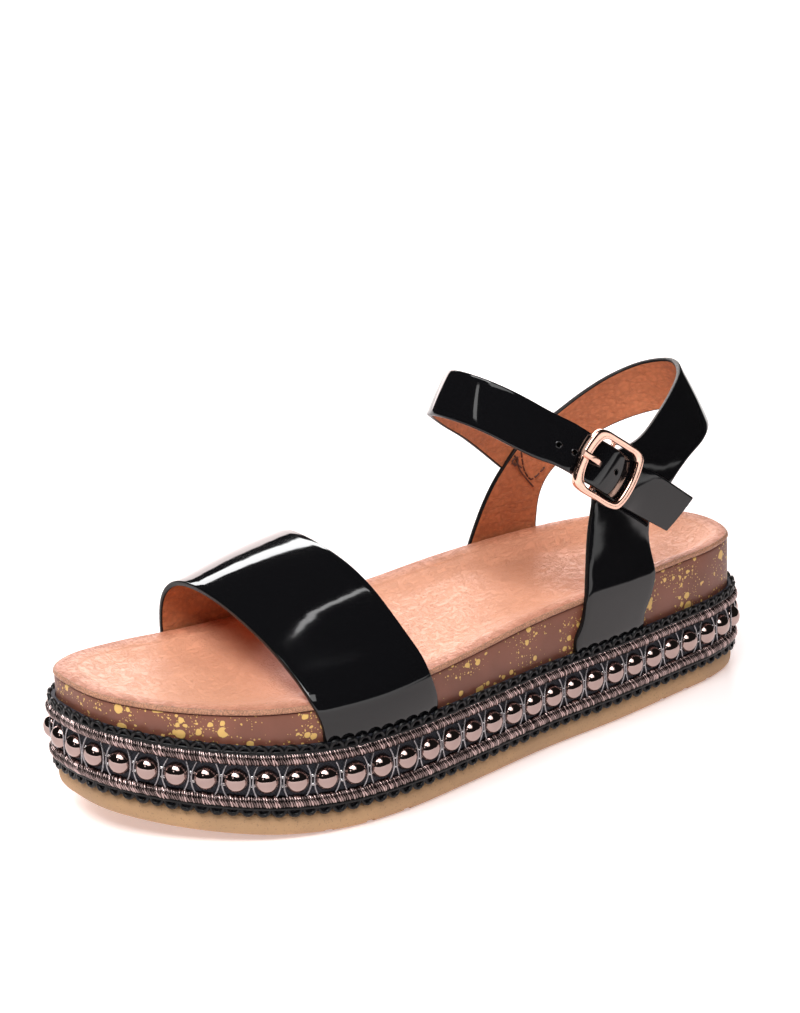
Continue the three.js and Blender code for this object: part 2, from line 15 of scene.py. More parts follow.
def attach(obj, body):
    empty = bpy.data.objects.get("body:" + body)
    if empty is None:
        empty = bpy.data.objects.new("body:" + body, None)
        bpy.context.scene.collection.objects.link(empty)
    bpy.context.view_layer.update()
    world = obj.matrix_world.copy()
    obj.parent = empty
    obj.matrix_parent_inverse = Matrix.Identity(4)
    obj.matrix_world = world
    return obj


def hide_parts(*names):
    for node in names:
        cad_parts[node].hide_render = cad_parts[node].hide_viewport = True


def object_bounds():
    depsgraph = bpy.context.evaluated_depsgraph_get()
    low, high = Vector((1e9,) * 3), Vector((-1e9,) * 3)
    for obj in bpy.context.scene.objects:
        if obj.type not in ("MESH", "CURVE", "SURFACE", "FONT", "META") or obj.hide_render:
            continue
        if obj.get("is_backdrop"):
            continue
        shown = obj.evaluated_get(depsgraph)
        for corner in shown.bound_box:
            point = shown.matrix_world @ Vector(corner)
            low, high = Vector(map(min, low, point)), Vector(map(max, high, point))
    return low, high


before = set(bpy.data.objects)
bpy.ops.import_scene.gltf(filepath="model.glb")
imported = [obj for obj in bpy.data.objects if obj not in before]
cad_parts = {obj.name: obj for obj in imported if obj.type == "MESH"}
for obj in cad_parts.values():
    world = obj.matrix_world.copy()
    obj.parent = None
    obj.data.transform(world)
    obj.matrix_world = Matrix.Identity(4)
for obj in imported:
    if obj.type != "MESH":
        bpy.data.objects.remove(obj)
CAD_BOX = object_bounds()
BODY = "root"
MM = 0.001
LOG = logging.getLogger("sandal")

Points = np.ndarray
Heights = Callable[[Points], Points]


# Curves and numbers


def steps(low: float, high: float, count: int) -> Points:
    """Even steps from low to high, both ends kept."""
    return np.linspace(low, high, count)


def ease(x: Points) -> Points:
    """Smooth step of x between 0 and 1."""
    t = np.clip(x, 0.0, 1.0)
    return t * t * (3.0 - 2.0 * t)


def unit(v: Points) -> Points:
    """Vectors of length one along the last axis."""
    return v / np.maximum(np.linalg.norm(v, axis=-1, keepdims=True), 1e-12)


def circle(count: int, start: float = 0.0) -> Points:
    """Even angles round a full turn, the first a share of a step in."""
    return (np.arange(count) + start) / count * 2 * math.pi


def toned(colour: Sequence[float], share: float) -> tuple[float, ...]:
    """A colour made darker or brighter by a share."""
    return tuple(c * share for c in colour)


def through(points: Points, closed: bool, at: Points) -> Points:
    """Places on a smooth centripetal curve through points.

    Args:
        points: the points, one a row.
        closed: whether the curve returns to its first point.
        at: parameters from 0 to 1, even from point to point.

    Returns:
        One place a parameter.
    """
    pts = np.asarray(points, float)
    n = len(pts)
    p = np.asarray(at, float) * (n if closed else n - 1)
    i = np.floor(p).astype(int)
    if closed:
        w = p - i
        q = [pts[(i + k) % n] for k in (-1, 0, 1, 2)]
    else:
        i = np.clip(i, 0, n - 2)
        w = p - i
        long = np.vstack([2 * pts[0] - pts[1], pts, 2 * pts[-1] - pts[-2]])
        q = [long[i + k] for k in (0, 1, 2, 3)]
    d = [np.sqrt(np.maximum(np.linalg.norm(q[k + 1] - q[k], axis=-1, keepdims=True), 1e-9)) for k in range(3)]
    t1 = (q[1] - q[0]) / d[0] - (q[2] - q[0]) / (d[0] + d[1]) + (q[2] - q[1]) / d[1]
    t2 = (q[2] - q[1]) / d[1] - (q[3] - q[1]) / (d[1] + d[2]) + (q[3] - q[2]) / d[2]
    t1, t2 = t1 * d[1], t2 * d[1]
    w = w[:, None]
    c2 = -3 * q[1] + 3 * q[2] - 2 * t1 - t2
    c3 = 2 * q[1] - 2 * q[2] + t1 + t2
    return q[1] + t1 * w + c2 * w**2 + c3 * w**3


def column(table: Points, key: int, at: Points) -> Points:
    """Value of a table's column on a smooth curve through its rows.

    Args:
        table: rows whose first number is the share of the length.
        key: the column.
        at: the shares of the length to read at.

    Returns:
        One value a share.
    """
    n = len(table) - 1
    i = np.clip(np.searchsorted(table[:, 0], at, side="left") - 1, 0, n - 1)
    before, a, b, after = (table[np.clip(i + k, 0, n)] for k in (-1, 0, 1, 2))
    h = b[:, 0] - a[:, 0]
    t = np.clip((at - a[:, 0]) / h, 0, 1)
    m0 = (b[:, key] - before[:, key]) / (b[:, 0] - before[:, 0])
    m1 = (after[:, key] - a[:, key]) / (after[:, 0] - a[:, 0])
    start = (2 * t**3 - 3 * t * t + 1) * a[:, key] + (t**3 - 2 * t * t + t) * h * m0
    return start + (3 * t * t - 2 * t**3) * b[:, key] + (t**3 - t * t) * h * m1


# Meshes and pieces


def new_object(name: str, mesh: bpy.types.Mesh) -> bpy.types.Object:
    """Put a mesh in the scene as an object at the origin.

    Args:
        name: the object's name.
        mesh: its mesh.

    Returns:
        The new object.
    """
    made = bpy.data.objects.new(name, mesh)
    bpy.context.scene.collection.objects.link(made)
    return made


def drop(made: bpy.types.Object) -> None:
    """Take a helper object and its mesh out of the file.

    Args:
        made: the object, which nothing uses any more.
    """
    mesh = made.data
    bpy.data.objects.remove(made, do_unlink=True)
    if isinstance(mesh, bpy.types.Mesh) and not mesh.users:
        bpy.data.meshes.remove(mesh)


def tidy_mesh(mesh: bpy.types.Mesh, sharp: float = 50.0, merge: float = 1e-7) -> None:
    """Merge doubles, point the faces outwards and shade smooth up to an angle.

    Args:
        mesh: the mesh to change.
        sharp: the angle in degrees above which an edge stays sharp.
        merge: the distance in metres under which points are one.
    """
    bm = bmesh.new()
    bm.from_mesh(mesh)
    bmesh.ops.remove_doubles(bm, verts=bm.verts, dist=merge)
    bmesh.ops.dissolve_degenerate(bm, edges=bm.edges, dist=merge)
    if bm.calc_volume(signed=True) < 0:
        bmesh.ops.reverse_faces(bm, faces=bm.faces)
    bm.to_mesh(mesh)
    bm.free()
    mesh.polygons.foreach_set("use_smooth", [True] * len(mesh.polygons))
    mesh.set_sharp_from_angle(angle=math.radians(sharp))


def skin(
    name: str,
    grid: Points,
    uv: Points | None = None,
    around: bool = True,
    along: bool = False,
    bands: Sequence[int] | None = None,
    caps: bool = True,
    sharp: float = 50.0,
) -> bpy.types.Object:
    """A surface through rings of points, in millimetres.

    Args:
        name: the object's name.
        grid: rings by points by three coordinates.
        uv: rings by points by two, with one more point where the ring closes, and one more ring
            where the path does.
        around: whether each ring closes on itself.
        along: whether the last ring joins the first.
        bands: the material of each strip between two points of a ring.
        caps: whether the first and last ring are closed by a face.
        sharp: the angle in degrees above which an edge stays sharp.

    Returns:
        The new object.
    """
    m, n = grid.shape[:2]
    rows, cols = (m if along else m - 1), (n if around else n - 1)
    r, c = (a.ravel() for a in np.meshgrid(np.arange(rows), np.arange(cols), indexing="ij"))
    corners = [(r, c), (r, c + 1), (r + 1, c + 1), (r + 1, c)]
    faces = np.stack([(a % m) * n + b % n for a, b in corners], axis=1).tolist()
    if caps and around and not along:
        faces += [list(range(n))[::-1], [(m - 1) * n + k for k in range(n)]]
    mesh = bpy.data.meshes.new(name)
    mesh.from_pydata((grid.reshape(-1, 3) * MM).tolist(), [], faces)
    if bands is not None:
        looks = np.asarray(bands)[c].tolist()
        looks += [0] * (len(faces) - len(looks))
        mesh.polygons.foreach_set("material_index", looks)
    if uv is not None:
        layer = mesh.uv_layers.new(name="lay")
        flat = np.stack([uv[a, b] for a, b in corners], axis=1).reshape(-1, 2)
        whole = np.zeros((len(mesh.loops), 2))
        whole[: len(flat)] = flat
        layer.data.foreach_set("uv", whole.ravel())
    tidy_mesh(mesh, sharp)
    return new_object(name, mesh)


def dress(
    made: bpy.types.Object, slot: str, nodes: Sequence[str], finishes: Sequence[bpy.types.Material] = ()
) -> bpy.types.Object:
    """Give a finished piece its materials and its body, and hide the CAD nodes it stands for.

    Args:
        made: the piece.
        slot: the name of its material slot; not used.
        nodes: the CAD nodes that it stands for.
        finishes: its materials, where its mesh has none yet.

    Returns:
        The piece.
    """
    for finish in finishes:
        made.data.materials.append(finish)
    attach(made, BODY)
    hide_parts(*nodes)
    count = sum(len(p.vertices) - 2 for p in made.data.polygons)
    LOG.info("%s: %d triangles", made.name, count)
    return made


# Node trees


class Wire:
    """A number on its way through a node tree, which takes part in sums."""

    def __init__(self, board: "Board", socket: bpy.types.NodeSocket) -> None:
        """Keep the socket and the tree it belongs to."""
        self.board = board
        self.socket = socket

    def __add__(self, other: "Wire | float") -> "Wire":
        """Sum."""
        return self.board.math("ADD", self, other)

    def __radd__(self, other: float) -> "Wire":
        """Sum with the number first."""
        return self.board.math("ADD", other, self)

    def __sub__(self, other: "Wire | float") -> "Wire":
        """Difference."""
        return self.board.math("SUBTRACT", self, other)

    def __rsub__(self, other: float) -> "Wire":
        """Difference with the number first."""
        return self.board.math("SUBTRACT", other, self)

    def __mul__(self, other: "Wire | float") -> "Wire":
        """Product."""
        return self.board.math("MULTIPLY", self, other)

    def __rmul__(self, other: float) -> "Wire":
        """Product with the number first."""
        return self.board.math("MULTIPLY", other, self)

    def __truediv__(self, other: "Wire | float") -> "Wire":
        """Quotient."""
        return self.board.math("DIVIDE", self, other)

    def __rtruediv__(self, other: float) -> "Wire":
        """Quotient with the number first."""
        return self.board.math("DIVIDE", other, self)


class Board:
    """A node tree under construction, for a material or a shape."""

    def __init__(self, tree: bpy.types.NodeTree) -> None:
        """Start on a tree."""
        self.tree = tree

    def feed(self, socket: bpy.types.NodeSocket, value: Any) -> None:
        """Set a socket to a value or link it to a wire or an output.

        Args:
            socket: the input socket.
            value: a number, vector, colour or text, or what is linked to it.
        """
        if isinstance(value, Wire):
            self.tree.links.new(value.socket, socket)
        elif isinstance(value, bpy.types.NodeSocket):
            self.tree.links.new(value, socket)
        else:
            socket.default_value = value

    def add(
        self, kind: str, settings: dict[str, Any] | None = None, values: dict[Any, Any] | None = None
    ) -> Any:
        """A new node.

        Args:
            kind: the node's type.
            settings: its own settings, set first.
            values: what goes into its sockets, by name or index.

        Returns:
            The node.
        """
        node = self.tree.nodes.new(kind)
        for key, value in (settings or {}).items():
            setattr(node, key, value)
        for key, value in (values or {}).items():
            self.feed(node.inputs[key], value)
        return node

    def math(self, operation: str, a: Any, b: Any = 0.0, c: Any = 0.0) -> Wire:
        """A Math node's result."""
        node = self.add("ShaderNodeMath", {"operation": operation}, {0: a, 1: b, 2: c})
        return Wire(self, node.outputs[0])


class Dye(Board):
    """The node tree of a material."""

    def __init__(self, name: str) -> None:
        """Start an empty material.

        Args:
            name: the material's name.
        """
        self.material = bpy.data.materials.new(name)
        self.material.use_nodes = True
        super().__init__(self.material.node_tree)
        self.tree.nodes.clear()
        self.places = self.add("ShaderNodeTexCoord")

    def spot(
        self, scale: Sequence[float] = (1, 1, 1), turn: Sequence[float] = (0, 0, 0), lay: bool = False
    ) -> Any:
        """Coordinates of a pattern.

        Args:
            scale: stretch along each axis.
            turn: turn about each axis in radians.
            lay: whether the piece's own map is read in place of the object's axes.

        Returns:
            The socket.
        """
        if lay:
            source = self.add("ShaderNodeUVMap", {"uv_map": "lay"}).outputs[0]
        else:
            source = self.places.outputs["Object"]
        node = self.add("ShaderNodeMapping", {}, {"Vector": source, "Rotation": turn, "Scale": scale})
        return node.outputs[0]

    def parts(self, vector: Any) -> tuple[Wire, Wire, Wire]:
        """The three numbers of a vector."""
        node = self.add("ShaderNodeSeparateXYZ", {}, {0: vector})
        return Wire(self, node.outputs[0]), Wire(self, node.outputs[1]), Wire(self, node.outputs[2])

    def noise(
        self, vector: Any, scale: float, detail: float = 3.0, rough: float = 0.5, bend: float = 0.0
    ) -> Wire:
        """Soft noise from 0 to 1."""
        values = {"Vector": vector, "Scale": scale, "Detail": detail, "Roughness": rough, "Distortion": bend}
        return Wire(self, self.add("ShaderNodeTexNoise", {}, values).outputs[0])

    def cells(
        self, vector: Any, scale: float, feature: str = "F1", chance: float = 1.0, space: str = "3D"
    ) -> Any:
        """A Voronoi node.

        Args:
            vector: where it is read.
            scale: cells to a metre.
            feature: what it measures.
            chance: how uneven the cells are.
            space: 3D, or 2D on a flat map.

        Returns:
            The node.
        """
        settings = {"feature": feature, "voronoi_dimensions": space}
        values = {"Vector": vector, "Scale": scale, "Randomness": chance}
        return self.add("ShaderNodeTexVoronoi", settings, values)

    def between(self, value: Any, low: float, high: float, first: float = 0.0, last: float = 1.0) -> Wire:
        """A smooth step of a value.

        Args:
            value: the value.
            low: where the step starts.
            high: where it ends.
            first: the result up to low.
            last: the result from high on.

        Returns:
            The result.
        """
        values = {"Value": value, "From Min": low, "From Max": high, "To Min": first, "To Max": last}
        node = self.add("ShaderNodeMapRange", {"interpolation_type": "SMOOTHSTEP"}, values)
        return Wire(self, node.outputs[0])

    def mix(self, share: Any, a: Any, b: Any, blend: str = "MIX") -> Any:
        """A mix of two colours.

        Args:
            share: how much of the second colour it has.
            a: the first colour, or its socket.
            b: the second colour, or its socket.
            blend: how the second lies on the first.

        Returns:
            The socket.
        """
        a, b = ((*v, 1.0) if isinstance(v, tuple) else v for v in (a, b))
        node = self.add("ShaderNodeMix", {"data_type": "RGBA", "blend_type": blend}, {0: share, 6: a, 7: b})
        return node.outputs[2]

    def bump(self, height: Any, depth: float, strength: float = 1.0) -> Any:
        """A Bump node's normal, its depth in millimetres."""
        values = {"Height": height, "Distance": depth * MM, "Strength": strength}
        return self.add("ShaderNodeBump", {}, values).outputs[0]

    def close(self, **sockets: Any) -> bpy.types.Material:
        """Finish the material.

        Args:
            sockets: values of the shader's sockets, with _ for a space.

        Returns:
            The material.
        """
        values = {key.replace("_", " "): value for key, value in sockets.items()}
        for key, value in values.items():
            if isinstance(value, tuple) and len(value) == 3:
                values[key] = (*value, 1.0)
        shader = self.add("ShaderNodeBsdfPrincipled", {}, values)
        self.add("ShaderNodeOutputMaterial", {}, {"Surface": shader.outputs[0]})
        return self.material


# Finishes


@dataclass(frozen=True)
class Patent:
    """Black patent leather, high gloss."""

    colour: tuple[float, float, float] = (0.004, 0.004, 0.0048)
    gloss: float = 0.045

    def make(self) -> bpy.types.Material:
        """Build the finish.

        Returns:
            The material.
        """
        d = Dye("patent_black")
        at = d.spot()
        swell = d.noise(at, 60, 2)
        grain = d.noise(at, 900, 3)
        dust = d.between(d.noise(at, 2600, 2), 0.62, 0.75)
        colour = d.mix(dust * 0.4, self.colour, (0.02, 0.019, 0.02))
        rough = d.between(d.noise(at, 35, 3), 0.3, 0.75, self.gloss, self.gloss * 1.9) + dust * 0.05
        normal = d.bump(swell + grain * 0.02, 0.5, 0.25)
        return d.close(Base_Color=colour, Roughness=rough, Normal=normal, IOR=1.5)


@dataclass(frozen=True)
class Hide:
    """Tan leather with a pebbled grain and fine folds."""

    name: str
    light: tuple[float, float, float]
    dark: tuple[float, float, float]
    grain: float = 700.0
    depth: float = 0.16
    # How deep the folds are, which also sets how much painted shade lies in their grooves.
    folds: float = 0.0

    def make(self) -> bpy.types.Material:
        """Build the finish.

        Returns:
            The material.
        """
        d = Dye(self.name)
        at = d.spot()
        pebble = Wire(d, d.cells(at, self.grain, "SMOOTH_F1").outputs["Distance"])
        fine = d.noise(at, 2400, 3, 0.6)
        cloud = d.noise(at, 28, 4, 0.6)
        crease = d.between(d.noise(d.spot((1, 1, 2.6)), 130, 4, 0.62, 1.2), 0.44, 0.5)
        colour = d.mix(d.between(cloud + (fine - 0.5) * 0.3, 0.3, 0.72), self.dark, self.light)
        # Painted shade: the colour is darkened in the low grooves between the folds, as much as the folds are
        # deep.
        colour = d.mix((1 - crease) * self.folds * 0.5, colour, toned(self.dark, 0.45))
        colour = d.mix(d.between(pebble, 0.25, 0.6, 0.0, 0.3), colour, toned(self.dark, 0.6))
        height = pebble * 0.6 + fine * 0.25 + crease * self.folds
        rough = d.between(fine, 0.2, 0.8, 0.48, 0.68)
        return d.close(Base_Color=colour, Roughness=rough, Normal=d.bump(height, self.depth))


@dataclass(frozen=True)
class Insole:
    """Peach leather of the footbed, burnished towards the rim, with a raw cut edge.

    The piece's map holds the ring's number: edge from low to high, then the top from its rim to the
    middle line.
    """

    light: tuple[float, float, float] = (0.93, 0.44, 0.27)
    dark: tuple[float, float, float] = (0.56, 0.185, 0.095)
    raw: tuple[float, float, float] = (0.62, 0.3, 0.18)
    seam: tuple[float, float, float] = (0.16, 0.055, 0.035)
    edge_from: float = 30.0
    edge_to: float = 35.2
    rim: float = 36.0
    middle: float = 66.0

    def make(self) -> bpy.types.Material:
        """Build the finish.

        Returns:
            The material.
        """
        d = Dye("footbed_hide")
        at = d.spot()
        ring = d.parts(d.spot(lay=True))[1]
        inward = (ring - self.rim) / (self.middle - self.rim)
        hair = d.noise(d.spot((2.6, 0.6, 1), (0, 0, 0.5)), 430, 4, 0.6, 1.4)
        hair_two = d.noise(d.spot((0.7, 2.2, 1), (0, 0, -0.35)), 380, 4, 0.6, 1.6)
        cloud = d.noise(at, 24, 4, 0.6)
        pore = d.noise(at, 1700, 3, 0.6)
        fold = d.between(hair * 0.55 + hair_two * 0.45, 0.42, 0.53)
        rim = d.between(inward + (cloud - 0.5) * 0.16 + (hair - 0.5) * 0.16, -0.02, 0.24, 1.0, 0.0)
        patch = d.between(cloud + (pore - 0.5) * 0.35, 0.42, 0.62, 0.55, 0.0)
        colour = d.mix(d.math("MAXIMUM", rim * 0.78, patch * 0.2), self.light, self.dark)
        # Painted shade: the colour is darkened in the low grooves of the fine folds, more so towards the rim.
        colour = d.mix((1 - fold) * (0.035 + rim * 0.2), colour, toned(self.dark, 0.6))
        spot = d.cells(at, 210)
        mark = d.between(Wire(d, spot.outputs["Distance"]), 0.03, 0.07, 0.5, 0.0)
        colour = d.mix(mark * d.between(d.parts(spot.outputs["Color"])[0], 0.86, 0.9), colour, self.seam)
        fuzz = d.noise(at, 2300, 2)
        raw = d.mix(d.between(fuzz, 0.4, 0.6), toned(self.raw, 0.62), self.raw)
        ragged = (fuzz - 0.5) * 1.1 + (hair - 0.5) * 0.9
        on_edge = d.between(ring + ragged, self.edge_to - 0.2, self.edge_to + 0.3, 1.0, 0.0)
        colour = d.mix(on_edge, colour, raw)
        foot = d.between(ring + ragged * 0.5, self.edge_from + 0.9, self.edge_from + 1.3, 1.0, 0.0)
        colour = d.mix(foot, colour, self.seam)
        groove = d.between(inward, 0.155, 0.19) * 1.2 - d.between(inward, 0.19, 0.25) * 0.5
        height = fold * 0.5 + pore * 0.2 + fuzz * on_edge * 0.8 - groove * 0.6
        rough = d.between(fold, 0.0, 1.0, 0.62, 0.46)
        return d.close(Base_Color=colour, Roughness=rough, Normal=d.bump(height, 0.34))


@dataclass(frozen=True)
class Paint:
    """Brown painted foam with ochre drops.

    Each row of sprays holds the drops to a metre, the least and largest radius as shares of their
    pitch, and the share of places that stay bare.
    """

    brown: tuple[float, float, float] = (0.235, 0.082, 0.05)
    ochre: tuple[float, float, float] = (0.8, 0.5, 0.15)
    stray: float = 0.0012
    sprays: tuple[tuple[float, float, float, float], ...] = (
        (150, 0.14, 0.27, 0.98), (260, 0.12, 0.28, 0.98), (560, 0.1, 0.24, 1.0), (1050, 0.1, 0.24, 0.98),
    )

    def wander(self, d: Dye, at: Any, flat: Any) -> Any:
        """Places on the wall, moved a little so that the drops are uneven.

        Args:
            d: the finish.
            at: the object's coordinates.
            flat: the wall's own map.

        Returns:
            The socket.
        """
        node = d.add("ShaderNodeTexNoise", {}, {"Vector": at, "Scale": 420.0, "Detail": 1.0})
        values = {0: node.outputs[1], 1: (0.5,) * 3}
        shift = d.add("ShaderNodeVectorMath", {"operation": "SUBTRACT"}, values).outputs[0]
        values = {0: shift, 1: (self.stray,) * 3, 2: flat}
        return d.add("ShaderNodeVectorMath", {"operation": "MULTIPLY_ADD"}, values).outputs[0]

    @staticmethod
    def spray(d: Dye, at: Any, crowd: Wire, row: Sequence[float]) -> Wire:
        """Where the drops of one size lie.

        Args:
            d: the finish.
            at: places on the wall.
            crowd: how crowded the drops are.
            row: the size, as in the table.

        Returns:
            1 on a drop, 0 beside it.
        """
        scale, least, most, bare = row
        node = d.cells(at, scale, "F1", 0.8, "2D")
        chance, size, _ = d.parts(node.outputs["Color"])
        radius = d.between(size, 0.0, 1.0, least, most)
        mask = d.between(Wire(d, node.outputs["Distance"]) - radius, -0.02, 0.01, 1.0, 0.0)
        return mask * d.math("GREATER_THAN", chance + crowd * 0.4, bare)

    def make(self) -> bpy.types.Material:
        """Build the finish.

        Returns:
            The material.
        """
        d = Dye("painted_foam")
        at, flat = d.spot(), d.spot(lay=True)
        uneven = self.wander(d, at, flat)
        crowd = d.between(d.noise(flat, 70, 2), 0.36, 0.6)
        first, *others = (self.spray(d, uneven, crowd, row) for row in self.sprays)
        drops = first
        for mask in others:
            drops = d.math("MAXIMUM", drops, mask)
        cloud = d.noise(at, 60, 4)
        brown = d.mix(d.between(cloud, 0.3, 0.7), toned(self.brown, 0.8), self.brown)
        ochre = d.mix(d.noise(at, 300, 2), toned(self.ochre, 0.85), self.ochre)
        fine = d.noise(at, 1500, 3)
        normal = d.bump(drops + fine * 0.12, 0.12)
        rough = d.between(fine, 0.2, 0.8, 0.36, 0.5)
        return d.close(Base_Color=d.mix(drops, brown, ochre), Roughness=rough, Normal=normal)


@dataclass(frozen=True)
class Rubber:
    """Tan rubber with a fine speckle."""

    tan: tuple[float, float, float] = (0.54, 0.33, 0.17)

    def make(self) -> bpy.types.Material:
        """Build the finish.

        Returns:
            The material.
        """
        d = Dye("outsole_tan")
        at = d.spot()
        cloud = d.noise(at, 45, 4)
        speck = d.between(d.noise(at, 1500, 2), 0.6, 0.68)
        colour = d.mix(d.between(cloud, 0.3, 0.7), toned(self.tan, 0.82), self.tan)
        colour = d.mix(speck * 0.6, colour, toned(self.tan, 0.55))
        normal = d.bump(cloud * 2.0 + d.noise(at, 900, 3) * 0.3, 0.3)
        return d.close(Base_Color=colour, Roughness=d.between(cloud, 0.2, 0.8, 0.55, 0.75), Normal=normal)


@dataclass(frozen=True)
class Metal:
    """Polished plated metal."""

    name: str
    colour: tuple[float, float, float]
    gloss: float = 0.1

    def make(self) -> bpy.types.Material:
        """Build the finish.

        Returns:
            The material.
        """
        d = Dye(self.name)
        at = d.spot()
        wear = d.noise(at, 700, 4, 0.6)
        colour = d.mix(wear, toned(self.colour, 0.9), self.colour)
        rough = d.between(wear, 0.3, 0.8, self.gloss * 0.8, self.gloss * 1.5)
        return d.close(Base_Color=colour, Metallic=1.0, Roughness=rough, Normal=d.bump(wear, 0.01))


@dataclass(frozen=True)
class Thread:
    """Spun thread."""

    name: str
    colour: tuple[float, float, float]
    metal: float = 0.0
    rough: float = 0.6
    shine: float = 0.5
    vary: float = 0.0

    def make(self) -> bpy.types.Material:
        """Build the finish.

        Returns:
            The material.
        """
        d = Dye(self.name)
        at = d.spot()
        fibre = d.noise(d.spot((1, 1, 0.4)), 2600, 3, 0.6)
        cloud = d.noise(at, 400, 3)
        # Darker where the fibre relief is low, painted shade in the fibre grooves, and in random soft patches
        # of tone.
        fibre_shade_and_tone = d.between(fibre + (cloud - 0.5) * 0.6, 0.3, 0.75)
        colour = d.mix(fibre_shade_and_tone, toned(self.colour, 0.45), self.colour)
        if self.vary:
            shade = d.add("ShaderNodeAttribute", {"attribute_name": "shade"}).outputs["Fac"]
            bright = tuple(min(c * 2.0, 1.0) for c in self.colour)
            colour = d.mix(d.between(shade, 0.5, 1.0, 0.0, self.vary), colour, bright)
            dull = toned(self.colour, 0.3)
            colour = d.mix(d.between(shade, 0.0, 0.35, self.vary, 0.0), colour, dull)
        rough = d.between(fibre, 0.2, 0.8, self.rough * 0.75, self.rough)
        return d.close(
            Base_Color=colour,
            Metallic=self.metal,
            Roughness=rough,
            Specular_IOR_Level=self.shine,
            Normal=d.bump(fibre, 0.08),
        )


@dataclass(frozen=True)
class Weave:
    """Woven tape behind the beads."""

    colour: tuple[float, float, float] = (0.02, 0.022, 0.032)
    threads: float = 5200.0

    def make(self) -> bpy.types.Material:
        """Build the finish.

        Returns:
            The material.
        """
        d = Dye("tape_weave")
        u, v, _ = d.parts(d.spot(lay=True))
        warp = d.math("SINE", u * self.threads)
        weft = d.math("SINE", v * self.threads)
        woven = warp * weft * 0.5 + 0.5
        # Painted shading of the weave: the colour is lighter where the woven relief is high and darker where
        # it is low.
        colour = d.mix(woven, toned(self.colour, 0.5), toned(self.colour, 1.7))
        return d.close(Base_Color=colour, Roughness=0.7, Normal=d.bump(woven, 0.12))


@dataclass(frozen=True)
class Ground:
    """Plain pale floor that glows by itself, painted light, darker near the sandal as a painted shadow and
    brighter away from it; it ends in black to the right of the picture, a painted dark region.

    The picture's right and its depth are directions on the floor, and depth is measured from the camera.
    """

    colour: tuple[float, float, float] = (0.86, 0.82, 0.81)
    # Glow of the floor near the sandal, a painted shadow, and far from it, painted light.
    painted_shadow: tuple[float, float, float] = (0.38, 0.33, 0.33)
    far: tuple[float, float, float] = (1.0, 1.0, 1.0)
    right: tuple[float, float] = (0.534, 0.845)
    deep: tuple[float, float, float] = (-0.845, 0.535, 0.805)
    widening: float = 0.19
    end: tuple[float, float] = (0.25, 0.34)
    behind: tuple[float, float] = (0.52, 0.62)

    def make(self) -> bpy.types.Material:
        """Build the finish.

        Returns:
            The material.
        """
        d = Dye("pale_floor")
        x, y, _ = d.parts(d.spot())
        out = d.math("SQRT", x * x + y * y)
        # Painted light: the floor glows by itself, darker near the sandal as a painted shadow and white away
        # from it.
        glow = d.mix(d.between(out, 0.16, 0.75), self.painted_shadow, self.far)
        across = x * self.right[0] + y * self.right[1]
        depth = x * self.deep[0] + y * self.deep[1] + self.deep[2]
        # Painted dark region: to the right of the picture and far from the camera, the floor is black and has
        # no glow.
        sheet = d.between(across - depth * self.widening, *self.end, 1.0, 0.0)
        sheet = d.math("MAXIMUM", sheet, d.between(depth, *self.behind, 1.0, 0.0))
        glow = d.mix(sheet, (0.0, 0.0, 0.0), glow)
        return d.close(
            Base_Color=d.mix(sheet, (0.02, 0.02, 0.02), self.colour),
            Roughness=0.5,
            Emission_Color=glow,
            Emission_Strength=1.0,
        )


# The last


